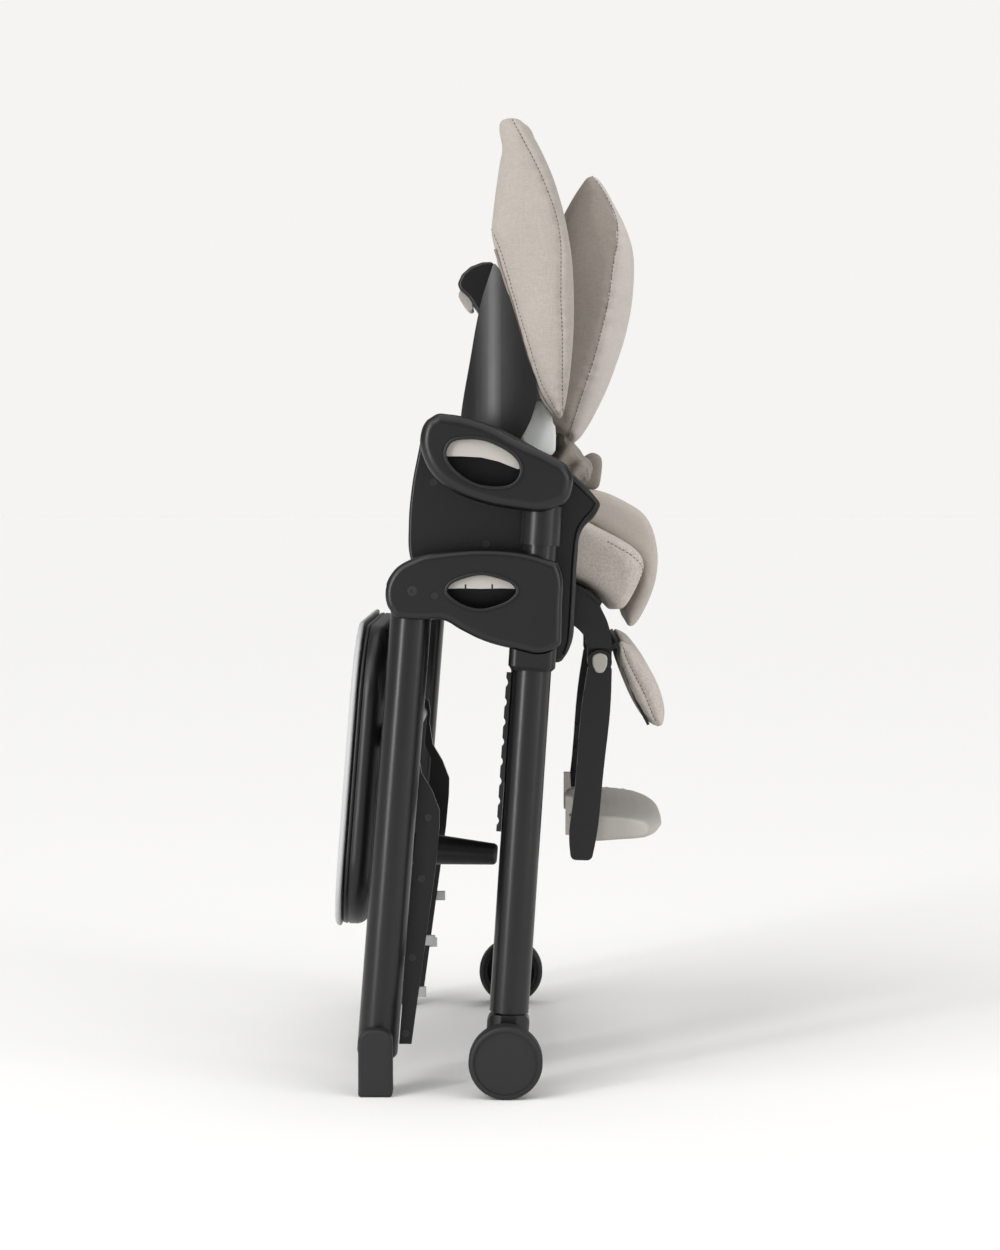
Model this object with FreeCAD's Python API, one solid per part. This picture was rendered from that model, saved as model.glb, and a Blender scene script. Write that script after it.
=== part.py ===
import FreeCAD, Part
import math
import os

from FreeCAD import Vector

# Baby high chair, folded for storage. Millimetres, +Z up, the chair's front faces -Y,
# the child's left is +X. The origin is on the floor under the middle of the folded chair.

# Overall sizes
LEG_X = 235.0           # middle plane of each leg, out from the chair's middle
HINGE_Z = 492.0         # height of the hinge that the rear legs fold on
HINGE_Y = 123.8         # hinge, behind the line that the front legs pass through the floor line
AXLE_Y = 33.0           # front wheel axle

# Front legs, with the seat's tubes telescoping inside them
FRONT_LEAN = 3.75       # degrees forward, going up
FRONT_TUBE_R = 19.3
FRONT_TUBE_WALL = 2.4
SLIDE_CLEARANCE = 0.5
SNUG = 0.1              # clearance of a moulding fixed round a tube
INNER_TUBE_WALL = 2.0
SLIDE_TRAVEL = 240.0    # seat height adjustment along the front legs
TUBE_OVERLAP = 60.0     # inner tube left in the leg at full height
LEG_TUBE_END = 79.0     # height where a leg tube ends and its end fitting starts
CROSSBAR_R = 11.0
FRONT_BAR_Z = 104.0

# Wheels
WHEEL_R = 36.0
WHEEL_WIDTH = 24.0
HUB_R = 31.0
COVER_THICK = 3.0       # solid outer face of a wheel, over the end of its axle
AXLE_R = 4.0
RUNNING_FIT = 0.05
WHEEL_GAP = 4.0         # wheel to its housing
HOUSING_HALF = 21.0     # half the width of the wheel housing
AXLE_HEAD_R = 8.0

# Rear legs
REAR_LEAN = 4.5         # degrees, feet behind the hinge
REAR_TUBE_R = 20.0
REAR_TUBE_WALL = 2.6
HEAD_PROUD = 0.5        # the hinge head's radius over the tube's
REAR_CAP_Z = 86.0       # top of the end cap
REAR_CAP_BOTTOM = 31.0
FOOT_WIDTH = 33.0
FOOT_HEIGHT = 66.0
FOOT_THICK = 16.0
REAR_BAR_DROP = 150.0   # crossbar below the hinge, along the leg
HINGE_PIN_R = 5.0
UNFOLD_ANGLE = 43.0     # rear legs' swing from folded to standing

# Plastic casings on the legs
CASING_HALF = REAR_TUBE_R + 5.5
CASING_WALL = 4.0
CASING_EDGE = 7.0       # rounding of the casings' outer edges
ARM_HALF = CASING_HALF + 1.5    # armrests are a little thicker than the casings
COLLAR_HEIGHT = 24.0
COLLAR_WALL = 3.6
TRIGGER_TRAVEL = 5.0
FIT = 0.3               # clearance between pieces that move past each other
SCREW_R = 3.6
SOCKET_R = 1.6

# Seat
PANEL_THICK = 5.0       # seat side panels
PAN_THICK = 4.0
SEAT_CUSHION_HALF = 168.0
INSERT_HALF = 122.0     # half width of the removable infant insert
STRAP_THICK = 2.0
STRAP_WIDTH = 25.0

# Backrest
BACK_HALF = 172.0
SHELL_WALL = 5.0
WING_THICK = 46.0
WING_OVER = 10.0        # how far the wings stand outside the shell
BACK_PAD = 24.0
BACK_PAD_HALF = 135.5
INSERT_PAD = 20.0
INSERT_INNER = 72.0
INSERT_BACK_HALF = 112.0
GRIP_HALF = 42.0
LEVER_TRAVEL = 3.0
PIN_INNER_END = 138.0   # inboard end of the recline pins and of the shell's bosses
RECLINE_ANGLE = 45.0
RECLINE_Y = 78.0
RECLINE_Z = 607.0

# Leg rest and footrest
REST_ARM_OUT = 162.0    # outer face of the leg-rest arms
REST_ARM_THICK = 14.0
REST_PIVOT_Y = -59.8
REST_PIVOT_Z = 417.5
REST_PIN_R = 4.0
BUTTON_TRAVEL = 3.0
REST_HEAD_R = 12.0
REST_ANGLE = 50.0
FOOT_TRAVEL = 60.0
REST_PAD_HALF = 133.5

# Tray, hung behind the rear legs
TRAY_HALF = 205.0
TRAY_CORNER = 75.0
TRAY_TOP = -42.0        # along the rear legs, from the hinge
TRAY_LENGTH = 304.0
TRAY_GAP = 0.6          # tray to rear legs
TRAY_DEPTH = 28.0
TRAY_WALL = 3.0
TRAY_LIFT = 80.0        # how far the tray slides up off the rear legs
OVERLAY_RISE = 6.0
TRAY_ARM_OUT = 166.0
TRAY_ARM_THICK = 8.0

# The outlines below are drawn for these leg sizes, and move up and down with the hinge
DRAWN_HINGE_Z = 492.0
SHARP_TURN = 42.0       # degrees; an outline point that turns more is a corner
LIFT = HINGE_Z - DRAWN_HINGE_Z

X = Vector(1, 0, 0)
ORIGIN = Vector(0, 0, 0)
FRONT_SLOPE = math.tan(math.radians(FRONT_LEAN))
FRONT_UP = Vector(0, -math.sin(math.radians(FRONT_LEAN)), math.cos(math.radians(FRONT_LEAN)))
HINGE = Vector(0, HINGE_Y, HINGE_Z)
AXLE = Vector(0, AXLE_Y, WHEEL_R)
INNER_TUBE_R = FRONT_TUBE_R - FRONT_TUBE_WALL - SLIDE_CLEARANCE
CASING_OUT = LEG_X + CASING_HALF
CASING_IN = LEG_X - CASING_HALF
ARM_OUT = LEG_X + ARM_HALF
ARM_IN = LEG_X - ARM_HALF
PANEL_OUT = ARM_IN
PANEL_IN = PANEL_OUT - PANEL_THICK
REST_ARM_IN = REST_ARM_OUT - REST_ARM_THICK
WHEEL_IN = LEG_X + HOUSING_HALF + WHEEL_GAP
WHEEL_OUT = WHEEL_IN + WHEEL_WIDTH

nodes = {}


# ---------------------------------------------------------------- drawing helpers

def raised(points):
    """Side-view points (y, z), carried along the front legs when the hinge height changes."""
    return [(y - LIFT * FRONT_SLOPE, z + LIFT) for y, z in points]


def side(point, x=0.0):
    return Vector(x, point[0], point[1])


def outline(points, radius=0.0):
    """A closed wire in the side view, each corner rounded as far as its edges allow."""
    corners = [side(p) for p in points]
    count = len(corners)
    cuts = []
    for i, corner in enumerate(corners):
        before = corners[i - 1] - corner
        after = corners[(i + 1) % count] - corner
        turn = before.getAngle(after)
        wanted = radius / math.tan(turn / 2) if radius and turn < 3.12 else 0.0
        cuts.append(min(wanted, 0.46 * before.Length, 0.46 * after.Length))
    edges = []
    for i, corner in enumerate(corners):
        after = corners[(i + 1) % count]
        along = (after - corner).normalize()
        start = corner + along * cuts[i]
        end = after - along * cuts[(i + 1) % count]
        if (end - start).Length > 0.01:
            edges.append(Part.makeLine(start, end))
        cut = cuts[(i + 1) % count]
        if cut > 0.01:
            onward = (corners[(i + 2) % count] - after).normalize()
            far = after + onward * cut
            middle = (end + far) * 0.5
            half = (far - end).Length / 2
            reach = (after - middle).Length
            bulge = math.sqrt(reach * reach + half * half)
            sagitta = half * (bulge - half) / reach
            via = middle + (after - middle).normalize() * sagitta
            edges.append(Part.Arc(end, via, far).toShape())
    return Part.Wire(edges)


def arc_via(start, way, end):
    """Middle point of the arc that leaves start along way and ends at end, or None if it is straight."""
    chord = end - start
    straight = Vector(chord).normalize()
    turn = way.getAngle(chord)
    if turn < 0.002:
        return None
    outward = (way - straight * way.dot(straight)).normalize()
    return (start + end) * 0.5 + outward * (chord.Length / 2 * math.tan(turn / 2))


def curve(points, radius, place=side):
    """A closed wire of tangent arcs through the points. Corners sharper than SHARP_TURN are
    kept, and rounded to the radius."""
    flat = [Vector(a, b, 0) for a, b in points]
    stations = []
    for i, corner in enumerate(flat):
        before, after = corner - flat[i - 1], flat[(i + 1) % len(flat)] - corner
        turn = before.getAngle(after)
        if turn > math.radians(SHARP_TURN):
            cut = min(radius * math.tan(turn / 2), 0.4 * before.Length, 0.4 * after.Length)
            back, onward = Vector(before).normalize(), Vector(after).normalize()
            stations += [(corner - back * cut, back), (corner + onward * cut, onward)]
        else:
            way = Vector(before).normalize() * after.Length + Vector(after).normalize() * before.Length
            stations.append((corner, way.normalize()))
    edges = []
    for i, (start, leave) in enumerate(stations):
        end, arrive = stations[(i + 1) % len(stations)]
        way = end - start
        both_ways = 2 * (1 - leave.dot(arrive))
        along = way.dot(leave + arrive)
        if both_ways < 1e-6:
            reach = way.dot(way) / (4 * way.dot(arrive))
        else:
            reach = (math.sqrt(along * along + both_ways * way.dot(way)) - along) / both_ways
        meet = (start + leave * reach + end - arrive * reach) * 0.5
        for a, b, via in ((start, meet, arc_via(start, leave, meet)),
                          (meet, end, arc_via(end, arrive * -1, meet))):
            a, b = place((a.x, a.y)), place((b.x, b.y))
            if via is None:
                edges.append(Part.makeLine(a, b))
            else:
                edges.append(Part.Arc(a, place((via.x, via.y)), b).toShape())
    return Part.Wire(edges)


def ring_of_arcs(points):
    """A closed wire of arcs, each through three side-view points, for the hand holes."""
    loop = [side(p) for p in points] + [side(points[0])]
    arcs = [Part.Arc(*loop[i:i + 3]).toShape() for i in range(0, len(points), 2)]
    return Part.Wire(arcs)


def slab(wire, x0, x1):
    face = Part.Face(wire)
    face.translate(Vector(x0, 0, 0))
    return face.extrude(Vector(x1 - x0, 0, 0))


def block(x0, x1, y0, y1, z0, z1):
    return Part.makeBox(x1 - x0, y1 - y0, z1 - z0, Vector(x0, y0, z0))


def rod(radius, start, end):
    way = end - start
    return Part.makeCylinder(radius, way.Length, start, way)


def pipe(radius, wall, start, end):
    return rod(radius, start, end).cut(rod(radius - wall, start, end))


def across(radius, centre, x0, x1):
    return Part.makeCylinder(radius, x1 - x0, Vector(x0, centre.y, centre.z), X)


def rounded(shape, radius, test):
    """Fillet the edges that pass the test, trying smaller radii if a wall is too thin."""
    edges = [e for e in shape.Edges if test(e)]
    for share in (1.0, 0.7, 0.45):
        try:
            result = shape.makeFillet(radius * share, edges)
            if result.isValid() and result.Solids:
                return result
        except Part.OCCError:
            continue
    return shape


def edge_at_x(x):
    def test(edge):
        box = edge.BoundBox
        return abs(box.XMin - x) < 0.01 and abs(box.XMax - x) < 0.01
    return test


def mirrored(shape):
    return shape.mirror(ORIGIN, X)


def keep(name, *shapes):
    nodes[name] = list(shapes)


def pair(name, shape):
    """The same piece on both sides, as two nodes."""
    keep(name + "_left", shape)
    keep(name + "_right", mirrored(shape))


def both(name, *shapes):
    """The same piece on both sides, as one node with a solid on each side."""
    keep(name, *shapes, *[mirrored(s) for s in shapes])


def on_front_leg(z, x=None):
    """A point on the front leg's middle line at a height."""
    return Vector(LEG_X if x is None else x, AXLE_Y - (z - WHEEL_R) * FRONT_SLOPE, z)


def on_rear_leg(shape):
    """Rear-leg pieces are drawn with the leg upright under the origin, then leaned."""
    turned = shape.copy()
    turned.rotate(ORIGIN, X, REAR_LEAN)
    turned.translate(HINGE)
    return turned


# ---------------------------------------------------------------- front frame

def front_legs():
    bottom = on_front_leg(LEG_TUBE_END)
    top = on_front_leg(HINGE_Z + 28)
    pair("front_leg", pipe(FRONT_TUBE_R, FRONT_TUBE_WALL, bottom, top))

    bar_y = on_front_leg(FRONT_BAR_Z).y
    inner_face = LEG_X
    bar = pipe(CROSSBAR_R, 1.8, Vector(-inner_face, bar_y, FRONT_BAR_Z),
               Vector(inner_face, bar_y, FRONT_BAR_Z))
    for leg_x in (-LEG_X, LEG_X):
        low = on_front_leg(LEG_TUBE_END - 40, leg_x)
        high = on_front_leg(FRONT_BAR_Z + 60, leg_x)
        bar = bar.cut(rod(FRONT_TUBE_R, low, high))
    keep("front_crossbar", max(bar.Solids, key=lambda s: s.Volume))


def wheel_housings():
    top_y = on_front_leg(LEG_TUBE_END).y
    half = HOUSING_HALF
    top_z = LEG_TUBE_END - FRONT_TUBE_R * FRONT_SLOPE
    body = [
        (top_y - half, top_z), (top_y + half, top_z),
        (AXLE_Y + half - 1, WHEEL_R), (AXLE_Y + 15, WHEEL_R - 20),
        (AXLE_Y - 15, WHEEL_R - 20), (AXLE_Y - half + 1, WHEEL_R),
    ]
    housing = slab(curve(body, 9), LEG_X - HOUSING_HALF, LEG_X + HOUSING_HALF)
    round_all = rod(HOUSING_HALF * 1.06, on_front_leg(0), on_front_leg(LEG_TUBE_END + 1))
    housing = housing.common(round_all)
    plug_top = on_front_leg(LEG_TUBE_END + 24)
    plug = rod(FRONT_TUBE_R - FRONT_TUBE_WALL - 0.1, on_front_leg(LEG_TUBE_END - 1), plug_top)
    housing = housing.fuse(plug)
    housing = housing.cut(across(AXLE_R, AXLE, LEG_X - 12, WHEEL_OUT))
    both("wheel_housings", housing)


def wheels():
    pin = across(AXLE_R, AXLE, LEG_X - 12, WHEEL_OUT - COVER_THICK)
    washer = across(AXLE_HEAD_R, AXLE, LEG_X + HOUSING_HALF, WHEEL_IN - FIT)
    washer = washer.cut(across(AXLE_R - 0.5, AXLE, LEG_X, WHEEL_OUT))
    both("wheel_axles", pin.fuse(washer))

    tyre = across(WHEEL_R, AXLE, WHEEL_IN, WHEEL_OUT)
    for x in (WHEEL_IN, WHEEL_OUT):
        tyre = rounded(tyre, 4, edge_at_x(x))
    tyre = tyre.cut(across(HUB_R, AXLE, WHEEL_IN, WHEEL_OUT))
    pair("wheel_tyre", tyre)

    inset = 1.6
    hub = across(HUB_R, AXLE, WHEEL_IN + inset, WHEEL_OUT - inset)
    boss = across(AXLE_HEAD_R + 3, AXLE, WHEEL_IN, WHEEL_OUT - COVER_THICK)
    dish = across(HUB_R - 4, AXLE, WHEEL_IN, WHEEL_IN + 14)
    dish = dish.cut(across(AXLE_HEAD_R + 3, AXLE, WHEEL_IN, WHEEL_OUT))
    hub = hub.cut(dish).fuse(boss)
    hub = hub.cut(across(AXLE_R + RUNNING_FIT, AXLE, WHEEL_IN - 1, WHEEL_OUT - COVER_THICK))
    pair("wheel_hub", hub)


def height_racks():
    """Notched strip down the back of each front leg, which the seat's catches index on."""
    pitch, count, thick = 19.4, 8, 4.6
    top = HINGE_Z - 82
    strip = block(-7, 7, 0, thick, -pitch * count, 0)
    for i in range(count):
        place = Vector(0, thick + 4.6, -pitch * (i + 0.5))
        strip = strip.cut(rod(6.5, place - X * 8, place + X * 8))
    strip.translate(Vector(0, FRONT_TUBE_R + 0.1, 0))
    strip.rotate(ORIGIN, X, FRONT_LEAN)
    strip.translate(on_front_leg(top))
    both("height_racks", strip.removeSplitter())


# Leg casing: two shells screwed together round the front leg, with the rear leg's hinge
CASING = [
    (150.0, 493), (148.5, 478), (141, 465), (118, 463.5), (92, 463), (77, 454.5), (58, 445),
    (34, 437.5), (-13, 434.5), (-20.5, 440), (-21.2, 475), (-21.2, 507), (-17.5, 519), (10, 528),
    (51, 532.5), (87, 530.5), (121, 524), (141, 512),
]
HAND_HOLE = [(90, 491), (86.5, 498), (77, 503), (57, 507.5), (36, 503), (26.5, 498), (23, 491),
             (31, 483), (44, 477.5), (57, 475), (71, 477.5), (83, 484)]


def leg_swing(radius, x0, x1):
    """Room for the rear leg's head and tube over its whole fold."""
    def way(degrees):
        angle = math.radians(degrees)
        return Vector(0, math.sin(angle), -math.cos(angle))
    folded, standing = way(REAR_LEAN), way(REAR_LEAN + UNFOLD_ANGLE)
    inward = X.cross(folded) * -1
    outward = X.cross(standing)
    reach = 150
    corners = [
        HINGE + inward * radius, HINGE + inward * radius + folded * reach,
        HINGE + way(REAR_LEAN + UNFOLD_ANGLE / 2) * reach * 1.5,
        HINGE + outward * radius + standing * reach, HINGE + outward * radius,
    ]
    sector = slab(outline([(c.y, c.z) for c in corners]), x0, x1)
    return sector.fuse(across(radius, HINGE, x0, x1))


def casing_shell(points, hole, x_face, x_seam, edge, wall):
    """One moulded half: a face with a rounded edge and a wall back to the seam.

    The outer half's hand hole has a raised rim; the inner half lies flat."""
    body = slab(curve(points, 12), x_seam, x_face) if x_face > x_seam else \
        slab(curve(points, 12), x_face, x_seam)
    body = rounded(body, edge, edge_at_x(x_face))
    inset = Part.Face(curve(points, 12)).makeOffset2D(-wall)
    inside = x_face - wall if x_face > x_seam else x_face + wall
    inset.translate(Vector(min(inside, x_seam), 0, 0))
    body = body.cut(inset.extrude(Vector(abs(inside - x_seam), 0, 0)))
    if x_face > x_seam:
        rim = Part.Face(ring_of_arcs(hole)).makeOffset2D(3.0)
        rim.translate(Vector(x_face, 0, 0))
        body = body.fuse(rim.extrude(Vector(1.2, 0, 0)))
    low, high = min(x_face, x_seam) - 3, max(x_face, x_seam) + 3
    return body.cut(slab(ring_of_arcs(hole), low, high))


def leg_casings():
    points, hole = raised(CASING), raised(HAND_HOLE)
    room = REAR_TUBE_R + HEAD_PROUD + 0.5
    swing = leg_swing(room, CASING_IN + CASING_WALL, CASING_OUT - CASING_WALL)
    leg_top = on_front_leg(HINGE_Z + 60)
    leg_low = on_front_leg(HINGE_Z - 90)
    tube_way = rod(FRONT_TUBE_R + SNUG, leg_low, leg_top)
    pin_way = across(HINGE_PIN_R, HINGE, CASING_IN - 5, CASING_OUT + 1)
    for label, face in (("outer", CASING_OUT), ("inner", CASING_IN)):
        shell = casing_shell(points, hole, face, LEG_X, CASING_EDGE, CASING_WALL)
        shell = shell.cut(swing).cut(tube_way).cut(pin_way)
        for place, end, seat in casing_screw_places():
            shell = shell.cut(across(SCREW_R, place, *sorted((end, seat))))
        shell = max(shell.Solids, key=lambda s: s.Volume)
        if label == "outer":
            pair("leg_casing_outer", shell)
        else:
            both("leg_casings_inner", shell)

    low = on_front_leg(HINGE_Z - 78)
    high = low + FRONT_UP * COLLAR_HEIGHT
    out = FRONT_TUBE_R + COLLAR_WALL
    ring = Part.makeBox(2 * out, 2 * out, COLLAR_HEIGHT, Vector(-out, -out, 0))
    ring = rounded(ring, 9, lambda e: e.BoundBox.ZLength > COLLAR_HEIGHT - 1)
    ring = ring.makeChamfer(4, [e for e in ring.Edges if e.BoundBox.ZMax < 0.01])
    ring.rotate(ORIGIN, X, FRONT_LEAN)
    ring.translate(low)
    ring = ring.cut(rod(FRONT_TUBE_R + SNUG, low - FRONT_UP * 5, high + FRONT_UP * 5))
    body = slab(curve(points, 12), CASING_IN - 1, CASING_OUT + 1)
    both("leg_collars", max(ring.cut(body).Solids, key=lambda s: s.Volume))


def casing_screw_places():
    """Each screw's place, the face that it is driven from, and the bottom of its seat."""
    outer, *inner = [side(p) for p in raised([(102.2, 487.3), (-6, 500), (20, 452)])]
    return [(outer, CASING_OUT, CASING_OUT - 3)] + [(p, CASING_IN, CASING_IN + 3) for p in inner]


def screw_in(place, end, seat, sunk):
    """A pan-head screw standing in its seat, sunk below the face, with its socket."""
    inward = 1 if seat > end else -1
    top = end + inward * sunk
    head = across(SCREW_R - SNUG, place, *sorted((top, seat)))
    return head.cut(across(SOCKET_R, place, *sorted((top, top + inward * 1.2))))


def casing_fasteners():
    both("casing_screws", *[screw_in(place, end, seat, 0.8) for place, end, seat in casing_screw_places()])

    pin = across(HINGE_PIN_R - RUNNING_FIT, HINGE, CASING_IN - 2, CASING_OUT - 0.8)
    pin = pin.cut(across(SOCKET_R, HINGE, CASING_OUT - 2.5, CASING_OUT))
    head = across(HINGE_PIN_R + 3, HINGE, CASING_IN - 2, CASING_IN)
    both("rear_hinge_pins", pin.fuse(head))


def fold_triggers():
    """Finger triggers in the top of the casings' hand holes, pulled up to free the fold."""
    top = [(94, 494), (88, 505), (57, 514), (26, 505), (19, 494), (38, 494.5), (57, 494), (76, 494.5)]
    half = CASING_HALF - CASING_WALL - FIT
    trigger = slab(outline(raised(top), 3), LEG_X - half, LEG_X + half)
    trigger = trigger.cut(rod(FRONT_TUBE_R + 1, on_front_leg(HINGE_Z - 60), on_front_leg(HINGE_Z + 60)))
    trigger = max(trigger.Solids, key=lambda s: s.Volume)
    pair("fold_trigger", trigger)


# ---------------------------------------------------------------- rear frame

def rear_legs():
    cap_w = -(HINGE_Z - REAR_CAP_Z) / math.cos(math.radians(REAR_LEAN))
    tube = pipe(REAR_TUBE_R, REAR_TUBE_WALL, Vector(LEG_X, 0, cap_w), Vector(LEG_X, 0, -4))
    head = across(REAR_TUBE_R + HEAD_PROUD, ORIGIN, LEG_X - REAR_TUBE_R, LEG_X + REAR_TUBE_R)
    neck = rod(REAR_TUBE_R, Vector(LEG_X, 0, -32), Vector(LEG_X, 0, 0))
    leg = tube.fuse(neck).fuse(head)
    leg = leg.cut(across(HINGE_PIN_R, ORIGIN, LEG_X - 30, LEG_X + 30))
    pair("rear_leg", on_rear_leg(leg.removeSplitter()))

    length = HINGE_Z - REAR_CAP_BOTTOM
    half = REAR_TUBE_R
    cap = rod(half, Vector(LEG_X, 0, -length), Vector(LEG_X, 0, cap_w))
    cap = rounded(cap, 8, lambda e: e.BoundBox.ZMax < 1 - length)
    plug = rod(REAR_TUBE_R - REAR_TUBE_WALL - 0.1, Vector(LEG_X, 0, cap_w - 2),
               Vector(LEG_X, 0, cap_w + 22))
    both("rear_leg_caps", on_rear_leg(cap.fuse(plug)))

    foot_y = HINGE_Y + math.tan(math.radians(REAR_LEAN)) * (HINGE_Z - FOOT_HEIGHT / 2)
    foot = block(LEG_X, LEG_X + half + FOOT_THICK, foot_y - FOOT_WIDTH / 2,
                 foot_y + FOOT_WIDTH / 2, 0, FOOT_HEIGHT)
    foot = rounded(foot, 12, lambda e: e.BoundBox.XLength > FOOT_THICK - 1 and
                   e.BoundBox.ZMin > FOOT_HEIGHT - 1)
    foot = rounded(foot, 3, lambda e: e.BoundBox.XLength > FOOT_THICK - 1 and e.BoundBox.ZMax < 1)
    foot = rounded(foot, 3, edge_at_x(LEG_X + half + FOOT_THICK))
    cap_place = on_rear_leg(rod(half + 0.05, Vector(LEG_X, 0, -length - 40), Vector(LEG_X, 0, cap_w + 10)))
    both("rear_feet", max(foot.cut(cap_place).Solids, key=lambda s: s.Volume))

    bar = pipe(CROSSBAR_R, 1.8, Vector(-LEG_X, 0, -REAR_BAR_DROP), Vector(LEG_X, 0, -REAR_BAR_DROP))
    for leg_x in (-LEG_X, LEG_X):
        bar = bar.cut(rod(REAR_TUBE_R, Vector(leg_x, 0, -REAR_BAR_DROP - 40),
                          Vector(leg_x, 0, -REAR_BAR_DROP + 40)))
    keep("rear_crossbar", on_rear_leg(max(bar.Solids, key=lambda s: s.Volume)))


# ---------------------------------------------------------------- seat carriage

ARMREST = [
    (116, 638), (112, 619), (101, 601), (82, 587), (58, 577.5), (34, 572), (-14, 572),
    (-26, 579), (-31, 592), (-31.8, 601), (-27, 612), (-10, 623), (20, 637), (48, 652),
    (77, 661), (99, 664), (110, 656),
]
GRIP_HOLE = [(90.5, 625), (86, 634.5), (76, 638), (54, 637), (32, 627), (21, 616), (20, 605), (26, 596.5),
             (38, 593), (59, 595), (76, 604), (87, 615)]


def inner_tubes():
    top = on_front_leg(HINGE_Z + 105)
    leg_top = on_front_leg(HINGE_Z + 28)
    bottom = leg_top - FRONT_UP * (SLIDE_TRAVEL + TUBE_OVERLAP)
    both("inner_tubes", pipe(INNER_TUBE_R, INNER_TUBE_WALL, bottom, top))


def armrests():
    points, hole = raised(ARMREST), raised(GRIP_HOLE)
    tube_way = rod(INNER_TUBE_R + SNUG, on_front_leg(HINGE_Z), on_front_leg(HINGE_Z + 105))
    for label, face in (("outer", ARM_OUT), ("inner", ARM_IN)):
        shell = casing_shell(points, hole, face, LEG_X, CASING_EDGE + 3, CASING_WALL)
        if label == "outer":
            pair("armrest_outer", shell.cut(tube_way))
        else:
            both("armrests_inner", shell.cut(tube_way))

    low = on_front_leg(HINGE_Z + 44)
    collar = Part.makeCylinder(INNER_TUBE_R + COLLAR_WALL - 0.5, 38, Vector(0, 0, 0))
    collar.rotate(ORIGIN, X, FRONT_LEAN)
    collar.translate(low)
    collar = collar.cut(rod(INNER_TUBE_R + SNUG, low - FRONT_UP * 5, low + FRONT_UP * 60))
    body = slab(curve(points, 12), ARM_IN - 1, ARM_OUT + 1)
    both("armrest_collars", max(collar.cut(body).Solids, key=lambda s: s.Volume))


def height_triggers():
    """Beige finger levers in the armrests' hand holes; squeezing one frees the height catch."""
    lever = [(92, 622), (97, 632), (84, 644), (57, 643), (30, 631), (12, 618), (20, 609),
             (40, 617), (57, 621), (76, 622)]
    half = ARM_HALF - CASING_WALL - FIT
    trigger = slab(outline(raised(lever), 4), LEG_X - half, LEG_X + half)
    trigger = trigger.cut(rod(INNER_TUBE_R + 1, on_front_leg(HINGE_Z), on_front_leg(HINGE_Z + 130)))
    pair("height_trigger", max(trigger.Solids, key=lambda s: s.Volume))


SIDE_PANEL = [
    (117, 640), (126, 592), (129, 560), (127, 520), (112, 490), (60, 452), (5, 424), (-20, 418.5),
    (-27.5, 430), (-34.5, 481), (-36.5, 520), (-41, 549), (-56, 567), (-60, 575.5), (-49, 589),
    (-31, 606), (10, 634), (60, 655),
]
PAN_TOP = [(-62, 477), (-50, 488), (-28, 499), (30, 524), (92, 553), (108, 566), (114, 585), (112, 612)]


INSERT_WING = [(2, 893), (-35, 904), (-53, 909), (-67, 903), (-83, 878), (-97, 848), (-100.5, 812),
               (-94.5, 771), (-83, 731), (-68, 685), (-51, 645), (-36, 643)]


def seat_side_panels():
    panel = slab(curve(raised(SIDE_PANEL), 9), PANEL_IN, PANEL_OUT)
    panel = rounded(panel, 3, edge_at_x(PANEL_OUT))
    screws = []
    for place in [side(p) for p in raised([(105, 597), (53, 536)])]:
        panel = panel.cut(across(SCREW_R, place, PANEL_OUT - 2.5, PANEL_OUT + 1))
        screws.append(screw_in(place, PANEL_OUT, PANEL_OUT - 2.5, 0.3))
    both("seat_side_panels", panel)
    both("panel_screws", *screws)


def seat_pan():
    top = [side(p) for p in raised(PAN_TOP)]
    under = [p + Vector(0, 0.5, -1).normalize() * PAN_THICK for p in top]
    under[-1] = top[-1] + Vector(0, PAN_THICK, 0)
    under[-2] = top[-2] + Vector(0, PAN_THICK, -0.5)
    under[-3] = top[-3] + Vector(0, PAN_THICK * 0.8, -PAN_THICK * 0.6)
    loop = [(p.y, p.z) for p in top + under[::-1]]
    pan = slab(outline(loop), -PANEL_IN, PANEL_IN)
    lip = raised([(-80, 460), (-33, 520)])
    for x in (REST_ARM_OUT + 2, -PANEL_IN):
        pan = pan.cut(block(x, x + PANEL_IN - REST_ARM_OUT - 2, lip[0][0], lip[1][0],
                            lip[0][1], lip[1][1]))
    keep("seat_pan", pan)


SEAT_CUSHION = [
    (-85, 463), (-100, 489), (-108, 509), (-105, 517), (-85, 531), (-60, 546), (-48, 556),
    (-35, 561), (10, 570), (50, 582), (68, 578), (74, 566), (72, 544.5), (28, 523.9), (-28, 499.7),
    (-50.5, 488.5), (-64, 477.5),
]
INSERT_SEAT = [
    (-91, 457), (-101, 459), (-110, 472), (-120, 502), (-122, 528), (-112, 550), (-96, 568.5),
    (-71, 583), (-51, 588), (-20, 590), (10, 592), (12, 571.5), (-35.3, 561.9), (-48.8, 556.8),
    (-60.6, 546.9), (-85.8, 531.8), (-106, 517.5), (-109, 509), (-101, 488.6), (-88, 466.5),
]


def seat_cushions():
    keep("seat_cushion", slab(outline(raised(SEAT_CUSHION), 9), -SEAT_CUSHION_HALF, SEAT_CUSHION_HALF))
    keep("insert_seat_pad", slab(outline(raised(INSERT_SEAT), 6), -INSERT_HALF, INSERT_HALF))


def harness():
    """Crotch strap coming up through the insert, with the buckle on its end."""
    half = STRAP_WIDTH / 2
    strap = [(-41, 589.1), (-41, 598), (-50, 626), (-50 - STRAP_THICK, 626), (-43 - STRAP_THICK, 598),
             (-43 - STRAP_THICK, 589.1)]
    keep("crotch_strap", slab(outline(raised(strap)), -half, half))
    buckle = [(-42, 628), (-55, 630), (-66, 619), (-66, 606), (-60, 602), (-54, 612), (-53, 626)]
    keep("harness_buckle", slab(outline(raised(buckle), 3), -22, 22))


# ---------------------------------------------------------------- backrest

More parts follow.
